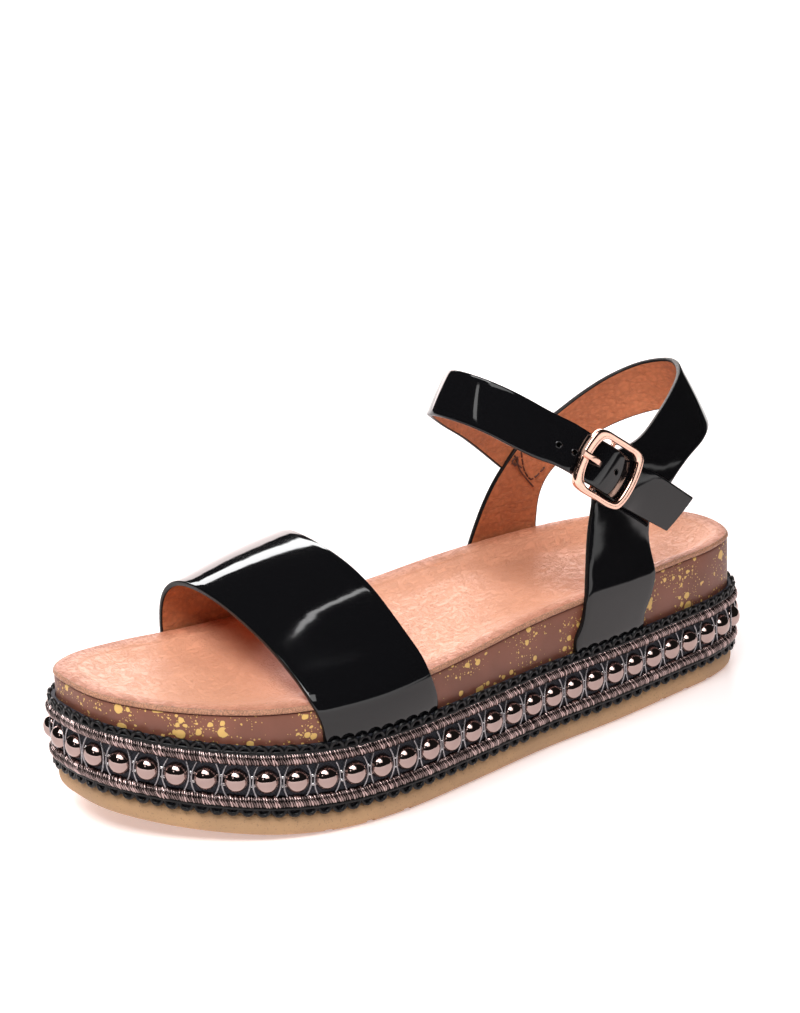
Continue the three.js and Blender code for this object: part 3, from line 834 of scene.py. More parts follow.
@dataclass(frozen=True)
class Last:
    """The shape everything stands on: outline of the footbed, heights along it and the spring of the toe."""

    length: float = 248.0
    half_ball: float = 43.0
    spring_from: float = 0.7
    spring_rise: float = 7.8
    outline: tuple[tuple[float, float], ...] = (
        (0, -0.012), (0.0185, 0.362), (0.0698, 0.526), (0.1488, 0.619), (0.2657, 0.735),
        (0.4032, 0.826), (0.5403, 0.97), (0.6573, 1.072), (0.75, 1.049), (0.831, 0.9),
        (0.8996, 0.635), (0.954, 0.323), (0.9887, 0.014), (1, -0.302), (0.996, -0.628),
        (0.9512, -0.867), (0.8754, -0.956), (0.7903, -0.923), (0.7016, -0.891), (0.5968, -0.826),
        (0.496, -0.784), (0.3831, -0.805), (0.246, -0.779), (0.146, -0.693), (0.0653, -0.563),
        (0.0185, -0.335),
    )
    heights: tuple[tuple[float, float, float], ...] = (
        (0.0, 50.3, 3.2), (0.1, 50.4, 5.2), (0.2, 50.3, 5.4), (0.4, 48.3, 3.6),
        (0.6, 45.1, 2.6), (0.8, 43.5, 2.4), (1.0, 40.2, 1.2),
    )
    fine: int = 4800

    def knots(self) -> Points:
        """The outline's points in millimetres."""
        table = np.array(self.outline)
        return np.stack([table[:, 1] * self.half_ball, self.length * (0.5 - table[:, 0])], axis=1)

    def curve(self) -> Points:
        """The outline as a fine closed curve from the heel by the outer side."""
        return through(self.knots(), True, np.arange(self.fine) / self.fine)

    def outward(self, curve: Points) -> Points:
        """Outward direction at each point of the fine curve."""
        run = np.roll(curve, -1, axis=0) - np.roll(curve, 1, axis=0)
        return unit(np.stack([-run[:, 1], run[:, 0]], axis=1))

    def side(self, which: int) -> tuple[Points, Points]:
        """One side of the outline, from the toe to the heel.

        Args:
            which: +1 for the outer side, -1 for the inner one.

        Returns:
            Rising y, and the index on the fine curve at each.
        """
        curve = self.curve()
        heel, toe = int(np.argmax(curve[:, 1])), int(np.argmin(curve[:, 1]))
        if which > 0:
            index = np.arange(heel if heel < toe else heel - self.fine, toe + 1)
        else:
            index = np.arange(heel if heel > toe else heel + self.fine, toe - 1, -1)
        y = curve[index % self.fine, 1]
        keep = np.concatenate([[True], y[1:] < np.minimum.accumulate(y)[:-1]])
        return y[keep][::-1], index[keep][::-1].astype(float)

    def wall(self, y: Points, which: int) -> Points:
        """The sole's side.

        Args:
            y: places along the shoe.
            which: +1 for the outer side, -1 for the inner one.

        Returns:
            x at each y.
        """
        ys, index = self.side(which)
        curve = self.curve()
        at = np.interp(y, ys, index)
        low = np.floor(at).astype(int)
        a, b = curve[low % self.fine, 0], curve[(low + 1) % self.fine, 0]
        return a + (b - a) * (at - low)

    def spring(self, along: Points) -> Points:
        """How far the toe is lifted."""
        return np.clip((along - self.spring_from) / (1 - self.spring_from), 0, 1) ** 2 * self.spring_rise

    def edge(self, along: Points) -> Points:
        """Height of the footbed's rim."""
        return column(np.array(self.heights), 1, along) + self.spring(along)

    def top(self, share: float) -> Heights:
        """Height of the footbed's top.

        Args:
            share: how far the place lies from the middle line, 1 at the rim.

        Returns:
            The height as a function of the share of the length.
        """
        table = np.array(self.heights)
        fall = float(ease(np.array((0.93 - share) / 0.4)))
        return lambda along: self.edge(along) - column(table, 2, along) * fall

    def under(self, share: float, low: float) -> Heights:
        """A depth under the footbed's top."""
        return lambda along: self.top(share)(along) - low

    def rim(self, low: float) -> Heights:
        """A depth under the footbed's rim."""
        return lambda along: self.edge(along) - low

    def flat(self, z: float) -> Heights:
        """A level that follows the spring of the toe."""
        return lambda along: z + self.spring(along)


class Stations:
    """Places round the sole, at the same distances along both sides."""

    CENTRES = (215.0, 32.0)

    def __init__(self, last: Last, count: int = 130) -> None:
        """Place the stations.

        Args:
            last: the shape they go round.
            count: how many there are on each side.
        """
        curve = last.curve()
        out = last.outward(curve)
        top, bottom = curve[:, 1].max(), curve[:, 1].min()
        j = np.concatenate([np.arange(count + 1), np.arange(count - 1, 0, -1)])
        y = top + (bottom - top) * (0.5 - 0.5 * np.cos(math.pi * j / count))
        at = np.zeros(len(y))
        for which, part in ((1, slice(0, count + 1)), (-1, slice(count + 1, None))):
            ys, index = last.side(which)
            at[part] = np.interp(y[part], ys, index)
        low = np.floor(at).astype(int)
        w = (at - low)[:, None]
        a, b = low % last.fine, (low + 1) % last.fine
        self.last = last
        self.p = curve[a] * (1 - w) + curve[b] * w
        self.out = unit(out[a] * (1 - w) + out[b] * w)
        self.along = (top - self.p[:, 1]) / last.length
        front, rear = (last.length / 2 - centre for centre in self.CENTRES)
        yc = np.clip(self.p[:, 1], front, rear)
        self.centre = np.stack([(last.wall(yc, 1) + last.wall(yc, -1)) / 2, yc], axis=1)
        seg = np.linalg.norm(np.roll(self.p, -1, axis=0) - self.p, axis=1)
        self.run = np.concatenate([[0], np.cumsum(seg)])

    def ring(self, off: float, height: Heights, share: float = 1.0) -> Points:
        """A ring of points.

        Args:
            off: distance outside the outline.
            height: z as a function of the share of the length.
            share: how far the ring lies from the middle line, 1 at the outline.

        Returns:
            The points.
        """
        q = self.p + self.out * off
        q = self.centre + (q - self.centre) * share
        along = self.along * share + (0.5 - q[:, 1] / self.last.length) * (1 - share)
        return np.column_stack([q, height(along)])

    def skin(
        self,
        name: str,
        rings: Sequence[tuple[float, Heights, float]],
        sharp: float = 50.0,
        level: bool = False,
    ) -> bpy.types.Object:
        """A surface through rings, its map holding the way round and the ring's number.

        Args:
            name: the object's name.
            rings: what each ring is made from.
            sharp: the angle in degrees above which an edge stays sharp.
            level: whether the map holds the height in place of the ring's number.

        Returns:
            The new object.
        """
        grid = np.stack([self.ring(*r) for r in rings])
        u = np.broadcast_to(self.run * MM, (len(rings), len(self.run)))
        v = np.broadcast_to(np.arange(len(rings))[:, None] * 1.0, u.shape)
        if level:
            v = np.concatenate([grid[..., 2], grid[:, :1, 2]], axis=1) * MM
        return skin(name, grid, np.stack([u, v], axis=2), caps=False, sharp=sharp)


# The sole


@dataclass(frozen=True)
class Sole:
    """Outsole, painted platform and footbed."""

    last: Last
    sole_top: float = 7.9
    wall_foot: float = 8.0
    board: float = 1.9
    gap: float = 0.3
    sole_side: tuple[tuple[float, float], ...] = (
        (-4, 0), (-1.6, 0), (-0.7, 0.2), (0.2, 0.8), (0.75, 1.6), (1.1, 2.6),
        (1.3, 4.2), (1.15, 5.8), (0.8, 7.0), (0.2, 7.7), (-0.6, 7.9), (-5, 7.9),
    )
    board_side: tuple[tuple[float, float], ...] = (
        (0.12, 1.7), (0.3, 1.2), (0.22, 0.6), (0.0, 0.25), (-0.4, 0.06),
    )
    grooves: tuple[float, ...] = (104, 92, 80, -38, -52, -66, -80)
    groove: tuple[float, float, float] = (120.0, 3.0, 2.8)

    def outsole(self, st: Stations) -> bpy.types.Object:
        """The tan rubber sole with its cross grooves.

        Args:
            st: places round the sole.

        Returns:
            The piece.
        """
        flat = self.last.flat
        rows = [(0, flat(0), 0.0), (0, flat(0), 0.5)]
        rows += [(off, flat(z), 1) for off, z in self.sole_side]
        rows += [(-5, flat(self.sole_top), 0.0)]
        return self.cut(st.skin("outsole_rubber", rows))

    def cut(self, made: bpy.types.Object) -> bpy.types.Object:
        """Cut the cross grooves of the tread.

        Args:
            made: the sole.

        Returns:
            The same object with its grooves.
        """
        bm = bmesh.new()
        for y in self.grooves:
            box = bmesh.ops.create_cube(bm, size=1.0)["verts"]
            bmesh.ops.scale(bm, vec=[size * MM for size in self.groove], verts=box)
            bmesh.ops.translate(bm, vec=(0, y * MM, 0), verts=box)
        mesh = bpy.data.meshes.new("grooves")
        bm.to_mesh(mesh)
        bm.free()
        cutter = new_object("grooves", mesh)
        mod = made.modifiers.new("grooves", "BOOLEAN")
        mod.operation, mod.solver, mod.object = "DIFFERENCE", "EXACT", cutter
        settle(made)
        drop(cutter)
        tidy_mesh(made.data)
        return made

    def platform(self, st: Stations) -> bpy.types.Object:
        """The painted wall between outsole and footbed.

        Args:
            st: places round the sole.

        Returns:
            The piece.
        """
        last, low = self.last, self.board + self.gap
        foot = last.flat(self.wall_foot)
        rows = [(-9, foot, 0.0), (-9, foot, 1), (-0.2, foot, 1)]
        rows += [(0, last.flat(z), 1) for z in (8.6, 20.0, 32.0)]
        rows += [(0, last.rim(low + 0.8), 1), (-0.3, last.rim(low), 1)]
        rows += [(0, last.under(share, low), share) for share in (0.95, 0.9, 0.76, 0.58, 0.3, 0.0)]
        return st.skin("platform_wall", rows, level=True)

    def footbed(self, st: Stations) -> bpy.types.Object:
        """The leather footbed with its cut edge.

        Args:
            st: places round the sole.

        Returns:
            The piece.
        """
        last = self.last
        shares = list(steps(0.0, 0.95, 30))
        rows = [(0, last.under(share, self.board), share) for share in shares]
        rows += [(-0.1, last.under(1, self.board), 1)]
        rows += [(off, last.rim(low), 1) for off, low in self.board_side]
        rows += [(-0.9, last.top(1), 1)]
        rows += [(0, last.top(share), share) for share in reversed(shares)]
        return st.skin("footbed_leather", rows, 80)

    def build(self, st: Stations) -> None:
        """Make and dress the three pieces.

        Args:
            st: places round the sole.
        """
        dress(self.outsole(st), "outsole_rubber", ("outsole",), (Rubber().make(),))
        dress(self.platform(st), "platform_foam", ("midsole",), (Paint().make(),))
        dress(self.footbed(st), "footbed_leather", ("footbed",), (Insole().make(),))


def settle(made: bpy.types.Object) -> None:
    """Turn an object's modifiers into its mesh.

    Args:
        made: the object.
    """
    bpy.context.view_layer.update()
    graph = bpy.context.evaluated_depsgraph_get()
    mesh = bpy.data.meshes.new_from_object(made.evaluated_get(graph), depsgraph=graph)
    made.modifiers.clear()
    made.data = mesh


# What repeats along a path


class Row:
    """A tree that repeats a shape along a closed path, its x axis outwards and its z axis along the path."""

    SIZES = (
        ("Shape", "Object"),
        ("Count", "Int"),
        ("Tilt", "Float"),
        ("Spread", "Float"),
        ("Core", "Float"),
        ("Seed", "Int"),
    )
    CORE_SIDES = 12

    def __init__(self, name: str, finish: bpy.types.Material, closed_core: bool = False) -> None:
        """Build the tree.

        Args:
            name: the tree's name.
            finish: the material of what it makes.
            closed_core: whether a plain core runs along the path too.
        """
        tree = bpy.data.node_groups.new(name, "GeometryNodeTree")
        face = tree.interface
        face.new_socket("Path", in_out="INPUT", socket_type="NodeSocketGeometry")
        for label, kind in self.SIZES:
            face.new_socket(label, in_out="INPUT", socket_type=f"NodeSocket{kind}")
        face.new_socket("Made", in_out="OUTPUT", socket_type="NodeSocketGeometry")
        b = Board(tree)
        ins = b.add("NodeGroupInput").outputs
        path = b.add("GeometryNodeMeshToCurve", {}, {"Mesh": ins["Path"]}).outputs[0]
        path = b.add("GeometryNodeResampleCurve", {}, {"Curve": path, "Count": ins["Count"]}).outputs[0]
        path = b.add("GeometryNodeSetCurveNormal", {"mode": "Z_UP"}, {"Curve": path}).outputs[0]
        spots = b.add("GeometryNodeCurveToPoints", {"mode": "EVALUATED"}, {"Curve": path}).outputs
        info = b.add("GeometryNodeObjectInfo", {"transform_space": "ORIGINAL"}, {"Object": ins["Shape"]})
        size = self.chance(b, ins["Spread"], ins["Seed"], 1.0)
        values = {
            "Points": spots["Points"],
            "Instance": info.outputs["Geometry"],
            "Rotation": spots["Rotation"],
        }
        many = b.add("GeometryNodeInstanceOnPoints", {}, values).outputs[0]
        lean = self.chance(b, ins["Tilt"], ins["Seed"], 0.0, 1)
        tilt = b.add("ShaderNodeCombineXYZ", {}, {0: lean}).outputs[0]
        many = b.add("GeometryNodeRotateInstances", {}, {"Instances": many, "Rotation": tilt}).outputs[0]
        many = b.add("GeometryNodeScaleInstances", {}, {"Instances": many, "Scale": size.socket}).outputs[0]
        shade = b.add("FunctionNodeRandomValue", {"data_type": "FLOAT"}, {"Seed": ins["Seed"]})
        many = b.add(
            "GeometryNodeStoreNamedAttribute",
            {"data_type": "FLOAT", "domain": "INSTANCE"},
            {"Geometry": many, "Name": "shade", "Value": shade.outputs[1]},
        ).outputs[0]
        real = b.add("GeometryNodeRealizeInstances", {}, {"Geometry": many}).outputs[0]
        if closed_core:
            values = {"Resolution": self.CORE_SIDES, "Radius": ins["Core"]}
            ring = b.add("GeometryNodeCurvePrimitiveCircle", {}, values).outputs[0]
            core = b.add("GeometryNodeCurveToMesh", {}, {"Curve": path, "Profile Curve": ring}).outputs[0]
            core = b.add("GeometryNodeSetShadeSmooth", {}, {"Geometry": core}).outputs[0]
            joint = b.add("GeometryNodeJoinGeometry", {}, {"Geometry": core})
            b.tree.links.new(real, joint.inputs[0])
            real = joint.outputs[0]
        real = b.add("GeometryNodeSetMaterial", {}, {"Geometry": real, "Material": finish}).outputs[0]
        b.add("NodeGroupOutput", {}, {0: real})
        self.tree = tree

    @staticmethod
    def chance(b: Board, spread: Any, seed: Any, middle: float, salt: int = 0) -> Wire:
        """A random number for each copy.

        Args:
            b: the tree.
            spread: how far the numbers lie from the middle at most.
            seed: where the numbers start.
            middle: the middle.
            salt: what is added to the seed.

        Returns:
            The number.
        """
        low, high = middle - Wire(b, spread), middle + Wire(b, spread)
        seed = b.math("ADD", seed, float(salt))
        node = b.add("FunctionNodeRandomValue", {"data_type": "FLOAT"}, {2: low, 3: high, "Seed": seed})
        return Wire(b, node.outputs[1])

    def make(self, name: str, path: Points, shape: bpy.types.Object, **sizes: Any) -> bpy.types.Object:
        """Run the tree.

        Args:
            name: the new object's name.
            path: the closed path in millimetres.
            shape: the object that is repeated.
            sizes: the tree's inputs by name.

        Returns:
            The plain mesh object.
        """
        n = len(path)
        mesh = bpy.data.meshes.new(name)
        mesh.from_pydata((path * MM).tolist(), [(k, (k + 1) % n) for k in range(n)], [])
        made = new_object(name, mesh)
        mod = made.modifiers.new("row", "NODES")
        mod.node_group = self.tree
        values = {"Shape": shape, "Seed": 3, "Spread": 0.0, "Tilt": 0.0, **sizes}
        values["Core"] = values.get("Core", 0.0) * MM
        for item in self.tree.interface.items_tree:
            if item.in_out == "INPUT" and item.name in values:
                mod[item.identifier] = values[item.name]
        settle(made)
        drop(shape)
        return made


def tube(name: str, path: Points, radius: Any, sides: int = 6, closed: bool = False) -> bpy.types.Object:
    """A round thread along a path.

    Args:
        name: the object's name.
        path: its middle line in millimetres.
        radius: one radius, or one for each point.
        sides: how many sides it has.
        closed: whether the path returns to its start.

    Returns:
        The new object.
    """
    run = np.roll(path, -1, axis=0) - np.roll(path, 1, axis=0) if closed else np.gradient(path, axis=0)
    run = unit(run)
    side = np.cross(run, (0.0, 0.0, 1.0))
    weak = np.linalg.norm(side, axis=1) < 0.2
    side[weak] = np.cross(run[weak], (1.0, 0.0, 0.0))
    side = unit(side)
    for k in range(1, len(side)):
        if np.dot(side[k], side[k - 1]) < 0:
            side[k] *= -1
    up = np.cross(side, run)
    a = circle(sides, 0.5)
    r = np.broadcast_to(np.asarray(radius, float), (len(path),))[:, None, None]
    ring = np.cos(a)[None, :, None] * side[:, None, :] + np.sin(a)[None, :, None] * up[:, None, :]
    return skin(name, path[:, None, :] + r * ring, along=closed, sharp=80)


# The braid


@dataclass(frozen=True)
class Braid:
    """The trim round the platform: tape, wound cords, picots, beads and their threads."""

    last: Last
    bottom: float = 8.5
    top: float = 31.7
    bead_height: float = 19.6
    bead_pitch: float = 9.34
    bead_first: float = 307.9
    bead_radius: float = 4.0
    bead_rise: float = 3.7
    cord_radius: float = 2.05
    cord_upper: float = 27.0
    cord_lower: float = 12.6
    wrap_pitch: float = 0.78
    wrap_slant: float = 0.7
    wrap_section: tuple[tuple[float, float], ...] = ((-0.46, -0.03), (0.0, 0.13), (0.46, -0.03), (0.0, -0.25))
    tape_depth: tuple[float, float] = (0.3, 1.5)
    picot_pitch: float = 4.7
    picot_upper: float = 29.1
    picot_lower: float = 10.4
    seed_apart: float = 1.5
    brace_reach: float = 5.2
    path_points: int = 480

    def loop(self, off: float, z: float, count: int, first: float = 0.0) -> Points:
        """A closed path round the platform.

        Args:
            off: distance outside the outline.
            z: height over the ground before the spring of the toe.
            count: how many points it has, even along the outline.
            first: where along the outline it starts.

        Returns:
            The points, going from the outer side to the heel.
        """
        curve = self.last.curve()
        out = self.last.outward(curve)
        seg = np.linalg.norm(np.roll(curve, -1, axis=0) - curve, axis=1)
        run = np.concatenate([[0], np.cumsum(seg)])
        at = np.interp((first - np.arange(count) / count * run[-1]) % run[-1], run, np.arange(len(run)))
        low = np.floor(at).astype(int)
        w = (at - low)[:, None]
        a, b = low % self.last.fine, (low + 1) % self.last.fine
        q = curve[a] * (1 - w) + curve[b] * w + unit(out[a] * (1 - w) + out[b] * w) * off
        along = (self.last.length / 2 - q[:, 1]) / self.last.length
        return np.column_stack([q, z + self.last.spring(along)])

    def girth(self) -> float:
        """Length of the outline."""
        curve = self.last.curve()
        return float(np.linalg.norm(np.roll(curve, -1, axis=0) - curve, axis=1).sum())

    def tape(self) -> bpy.types.Object:
        """The woven tape that carries everything.

        Returns:
            The piece.
        """
        back, face = self.tape_depth
        low, high, half = self.bottom, self.top - 0.6, 20.0
        section = [(back, low), (back, high), (face, high), (face, half), (face, low)]
        count = 420
        grid = np.stack([self.loop(off, z, count) for off, z in section], axis=1)
        across = np.array([0, 23, 24.5, 36, 47, 48.5])
        size = (count + 1, len(across))
        u = np.broadcast_to(np.linspace(0, self.girth(), count + 1)[:, None] * MM, size)
        v = np.broadcast_to(across[None, :] * MM, size)
        return skin("trim_tape", grid, np.stack([u, v], axis=2), along=True)

    def wrap(self) -> bpy.types.Object:
        """One turn of the thread that is wound round a cord.

        Returns:
            The shape to repeat.
        """
        z, up = np.array(self.wrap_section).T
        r = self.cord_radius + up
        turn = circle(14)
        slant = self.wrap_slant
        grid = [np.column_stack([r * math.cos(t), r * math.sin(t), z + slant * math.sin(t)]) for t in turn]
        return skin("wrap", np.array(grid), along=True, sharp=180)

    @staticmethod
    def picot(high: float, wide: float, thick: float) -> bpy.types.Object:
        """One arch of the crocheted edge.

        Args:
            high: its height, below zero where it hangs.
            wide: half its width.
            thick: the thread's radius.

        Returns:
            The arch.
        """
        t = steps(-0.25, math.pi + 0.25, 11)
        path = np.column_stack([0.4 * np.sin(t), -high * np.sin(t), wide * np.cos(t)])
        return tube("picot", path, thick, 6)

    def bead(self) -> bpy.types.Object:
        """One domed bead.

        Returns:
            The shape to repeat.
        """
        rows = []
        for share in steps(0, 1, 12):
            a = share * math.pi / 2
            radius = self.bead_radius * math.cos(a) ** 0.9 if share < 1 else 0.0
            rows.append((radius, self.bead_rise * math.sin(a) - 0.2))
        rows = [(self.bead_radius * 0.9, -0.8)] + rows
        turn = circle(28)
        grid = [[(h, r * math.cos(t), r * math.sin(t)) for t in turn] for r, h in rows]
        return skin("bead", np.array(grid), sharp=80)

    @staticmethod
    def seed() -> bpy.types.Object:
        """One small silver bead, a ring with its hole across the path.

        Returns:
            The shape to repeat.
        """
        around, tube_turn = circle(10)[:, None], circle(6)[None, :]
        x = (0.9 + 0.55 * np.cos(tube_turn)) * np.cos(around)
        y = 0.62 * np.sin(tube_turn) + 0.0 * around
        z = (0.62 + 0.5 * np.cos(tube_turn)) * np.sin(around) * 1.3
        return skin("seed", np.stack([x, y, z], axis=2), along=True, sharp=180)

    def brace(self) -> bpy.types.Object:
        """The two bent threads that hold a bead from both sides.

        Returns:
            The shape to repeat.
        """
        t = steps(-1, 1, 11)
        both = []
        for sign in (-1, 1):
            path = np.column_stack([1.1 - 0.5 * t**2, self.brace_reach * t, sign * (4.3 - 1.3 * t**2)])
            both.append(tube(f"brace{sign}", path, 0.34, 6))
        return join(both[0], both[1:])

    def build(self) -> None:
        """Make and dress the braid."""
        slot, node = "trim_beads", ("trim_band",)
        dress(self.tape(), slot, node, (Weave().make(),))
        wound = Thread("wound_thread", (0.3, 0.225, 0.215), 1.0, 0.2, vary=0.8).make()
        row = Row("wound_cord", wound, True)
        count, core = int(self.girth() / self.wrap_pitch), self.cord_radius - 0.08
        face = self.tape_depth[1]
        for name, z in (("trim_cord_upper", self.cord_upper), ("trim_cord_lower", self.cord_lower)):
            path = self.loop(face, z, self.path_points)
            made = row.make(name, path, self.wrap(), Count=count, Tilt=0.16, Spread=0.05, Core=core)
            dress(made, slot, node)
        black = Thread("black_thread", (0.004, 0.004, 0.0048), 0.0, 0.36, 0.3).make()
        edge = Row("crochet_edge", black, True)
        count = int(self.girth() / self.picot_pitch)
        rows = (("trim_picot_upper", self.picot_upper, 2.4), ("trim_picot_lower", self.picot_lower, -2.2))
        for name, z, high in rows:
            path = self.loop(1.9, z, self.path_points)
            arch = self.picot(high, 1.95, 0.72)
            dress(edge.make(name, path, arch, Count=count, Tilt=0.12, Spread=0.06, Core=0.85), slot, node)
        beads = round(self.girth() / self.bead_pitch)
        plain = Row("beads", Metal("bead_gunmetal", (0.42, 0.31, 0.285), 0.06).make())
        path = self.loop(face, self.bead_height, beads, self.bead_first)
        dress(plain.make("trim_beads", path, self.bead(), Count=beads), slot, node)
        grey = Row("braces", Thread("grey_thread", (0.42, 0.4, 0.42), 0.85, 0.26).make())
        dress(grey.make("trim_braces", path, self.brace(), Count=beads, Tilt=0.05, Spread=0.03), slot, node)
        silver = Row("seeds", Metal("seed_silver", (0.55, 0.53, 0.53), 0.14).make())
        half = self.bead_first - self.girth() / beads / 2
        for name, side in (("trim_seeds_upper", 1), ("trim_seeds_lower", -1)):
            path = self.loop(1.4, self.bead_height + side * self.seed_apart, beads, half)
            dress(silver.make(name, path, self.seed(), Count=beads, Tilt=0.2), slot, node)


# Straps


@dataclass(frozen=True)
class Strip:
    """Rows of a strap: upper or front edge, lower or rear edge, swell between them and bow."""

    front: Points
    rear: Points
    swell: Points
    bow: Points

    @staticmethod
    def of(rows: Sequence[Sequence[Any]]) -> "Strip":
        """A strip from a table.

        Args:
            rows: six numbers each, with the swell and the bow where they are given.

        Returns:
            The strip.
        """
        full = [(*r[:6], r[6] if len(r) > 6 else (0, 0, 0), r[7] if len(r) > 7 else 1.0) for r in rows]
        front = np.array([r[:3] for r in full], float)
        rear = np.array([r[3:6] for r in full], float)
        swell = np.array([r[6] for r in full], float)
        return Strip(front, rear, swell, np.array([r[7] for r in full], float))

    def then(self, other: "Strip") -> "Strip":
        """This strip followed by another."""
        names = ("front", "rear", "swell", "bow")
        return Strip(*(np.concatenate([getattr(self, name), getattr(other, name)]) for name in names))

    def back(self) -> "Strip":
        """The rows in reverse."""
        return Strip(self.front[::-1], self.rear[::-1], self.swell[::-1], self.bow[::-1])

    def spread(self, count: int) -> "Strip":
        """Rows spaced evenly along smooth curves through these.

        Args:
            count: how many rows are wanted.

        Returns:
            The finer strip.
        """
        front, rear = (np.linalg.norm(np.diff(edge, axis=0), axis=1) for edge in (self.front, self.rear))
        marks = np.concatenate([[0], np.cumsum((front + rear) * 0.5)])
        at = np.interp(np.linspace(0, marks[-1], count), marks, np.arange(len(marks)))
        t = at / (len(marks) - 1)
        index = np.arange(len(marks))
        swell = np.stack([np.interp(at, index, self.swell[:, k]) for k in range(3)], axis=1)
        bow = np.interp(at, index, self.bow)
        return Strip(through(self.front, False, t), through(self.rear, False, t), swell, bow)

    @staticmethod
    def smooth(values: Points, weight: Points) -> Points:
        """Values averaged with their neighbours, with the ends kept.

        Args:
            values: one row a place.
            weight: the neighbours' weights, an odd number.

        Returns:
            The averaged values.
        """
        half = len(weight) // 2
        v = values.reshape(len(values), -1)
        long = np.vstack([2 * v[0] - v[half:0:-1], v, 2 * v[-1] - v[-2 : -half - 2 : -1]])
        columns = [np.convolve(column_values, weight, "valid") for column_values in long.T]
        return np.stack(columns, axis=1).reshape(values.shape)

    def soften(self, reach: float) -> "Strip":
        """Even rows with short bends smoothed out.

        Args:
            reach: the length in millimetres below which a bend is smoothed.

        Returns:
            The softer strip.
        """
        step = self.length()[-1] / (len(self.front) - 1)
        half = max(int(3 * reach / step), 1)
        weight = np.exp(-0.5 * (np.arange(-half, half + 1) * step / reach) ** 2)
        weight /= weight.sum()
        return Strip(*(self.smooth(v, weight) for v in (self.front, self.rear, self.swell, self.bow)))

    def length(self) -> Points:
        """Distance along the middle at each row."""
        middle = (self.front + self.rear) / 2
        return np.concatenate([[0], np.cumsum(np.linalg.norm(np.diff(middle, axis=0), axis=1))])


class Away(Enum):
    """Where the outer face of a strap looks."""

    TOE = "over the toes"
    HEEL = "round the heel"
    ANKLE = "round the instep"

    def of(self, strip: Strip) -> Points:
        """Vectors that point to the strap's outer side.

        Args:
            strip: the strap's rows.

        Returns:
            One vector a row.
        """
        both = strip.front + strip.rear
        zero = np.zeros(len(both))
        if self is Away.TOE:
            return np.column_stack([both[:, 0], zero, zero + 46])
        if self is Away.HEEL:
            return np.column_stack([both[:, 0], np.maximum(both[:, 1] - 150, 0), zero])
        return np.column_stack([both[:, 0], np.minimum(both[:, 1] - 110, 0), zero + 4])


@dataclass(frozen=True)
class Strap:
    """A flat strap with a patent face and a lining, rounded along its edges."""

    name: str
    strip: Strip
    away: Away
    bow: float
    thick: float = 1.9
    corner: float = 0.6
    across: int = 12
    soft: float = 1.5

    def section(self, w: Points) -> tuple[Points, Points, list[int]]:
        """Distance across and depth of the section's points.

        Args:
            w: width of the strap at each row.

        Returns:
            Distances across, depths, and the material of each strip of the section.
        """
        r = self.corner
        turn = steps(0, math.pi / 2, 5)
        rise = np.column_stack([r - r * np.cos(turn), r - r * np.sin(turn)])
        inside = steps(0, 1, self.across + 2)[1:-1]
        x, depth = [], []
        for a, b in rise:
            x.append(np.full_like(w, a))
            depth.append(b)
        for share in inside:
            x.append(r + (w - 2 * r) * share)
            depth.append(0.0)
        for a, b in rise[::-1]:
            x.append(w - a)
            depth.append(b)
        for a, b in rise:
            x.append(w - a)
            depth.append(self.thick - b)
        for share in inside[::-1]:
            x.append(r + (w - 2 * r) * share)
            depth.append(self.thick)
        for a, b in rise[::-1]:
            x.append(np.full_like(w, a))
            depth.append(self.thick - b)
        n = self.across
        looks = [2, 2, 0, 0] + [0] * (n + 1) + [0, 0, 2, 2] + [2] * 5 + [1] * (n + 1) + [2] * 5
        return np.stack(x, axis=1), np.array(depth), looks

    def make(self, count: int = 170) -> bpy.types.Object:
        """Build the strap.

        Args:
            count: how many rows it gets.

        Returns:
            The strap.
        """
        s = self.strip.spread(count).soften(self.soft)
        middle = s.front + s.rear
        run = np.gradient(middle, axis=0)
        wide = s.rear - s.front
        w = np.linalg.norm(wide, axis=1)
        wide = unit(wide)
        up = unit(np.cross(run, wide))
        up[np.einsum("ij,ij->i", up, self.away.of(s)) < 0] *= -1
        x, depth, looks = self.section(w)
        share = x / w[:, None]
        arch = 4 * share * (1 - share)
        lift = (self.bow * s.bow)[:, None] * arch - depth[None, :]
        grid = s.front[:, None, :] + wide[:, None, :] * x[:, :, None]
        grid = grid + up[:, None, :] * lift[:, :, None] + s.swell[:, None, :] * arch[:, :, None]
        x_closed = np.concatenate([x, x[:, :1]], axis=1)
        u = np.broadcast_to(s.length()[:, None], x_closed.shape)
        return skin(self.name, grid, np.stack([u, x_closed], axis=2) * MM, bands=looks, sharp=60)


@dataclass(frozen=True)
class Legs:
    """Where a strap runs down the side of the platform and tucks in behind the braid."""

    last: Last
    places: tuple[tuple[float, float], ...] = ((27.6, 0.2), (30.2, 1.2), (32.4, 2.0), (36.4, 2.35))

    def row(self, side: int, front: float, rear: float, z: float, off: float) -> tuple[Any, ...]:
        """A row on the side of the platform, without a bow.

        Args:
            side: +1 for the outer side, -1 for the inner one.
            front: y of the front edge.
            rear: y of the rear edge.
            z: its height.
            off: distance outside the platform.

        Returns:
            The row.
        """
        a, b, c = self.last.wall(np.array([front, rear, (front + rear) / 2]), side)
        return (a + side * off, front, z, b + side * off, rear, z, (c - (a + b) / 2, 0, 0), 0.0)

    def leg(self, side: int, ends: tuple[float, float]) -> Strip:
        """The rows from the end behind the braid upwards."""
        return Strip.of([self.row(side, *ends, z, off) for z, off in self.places])


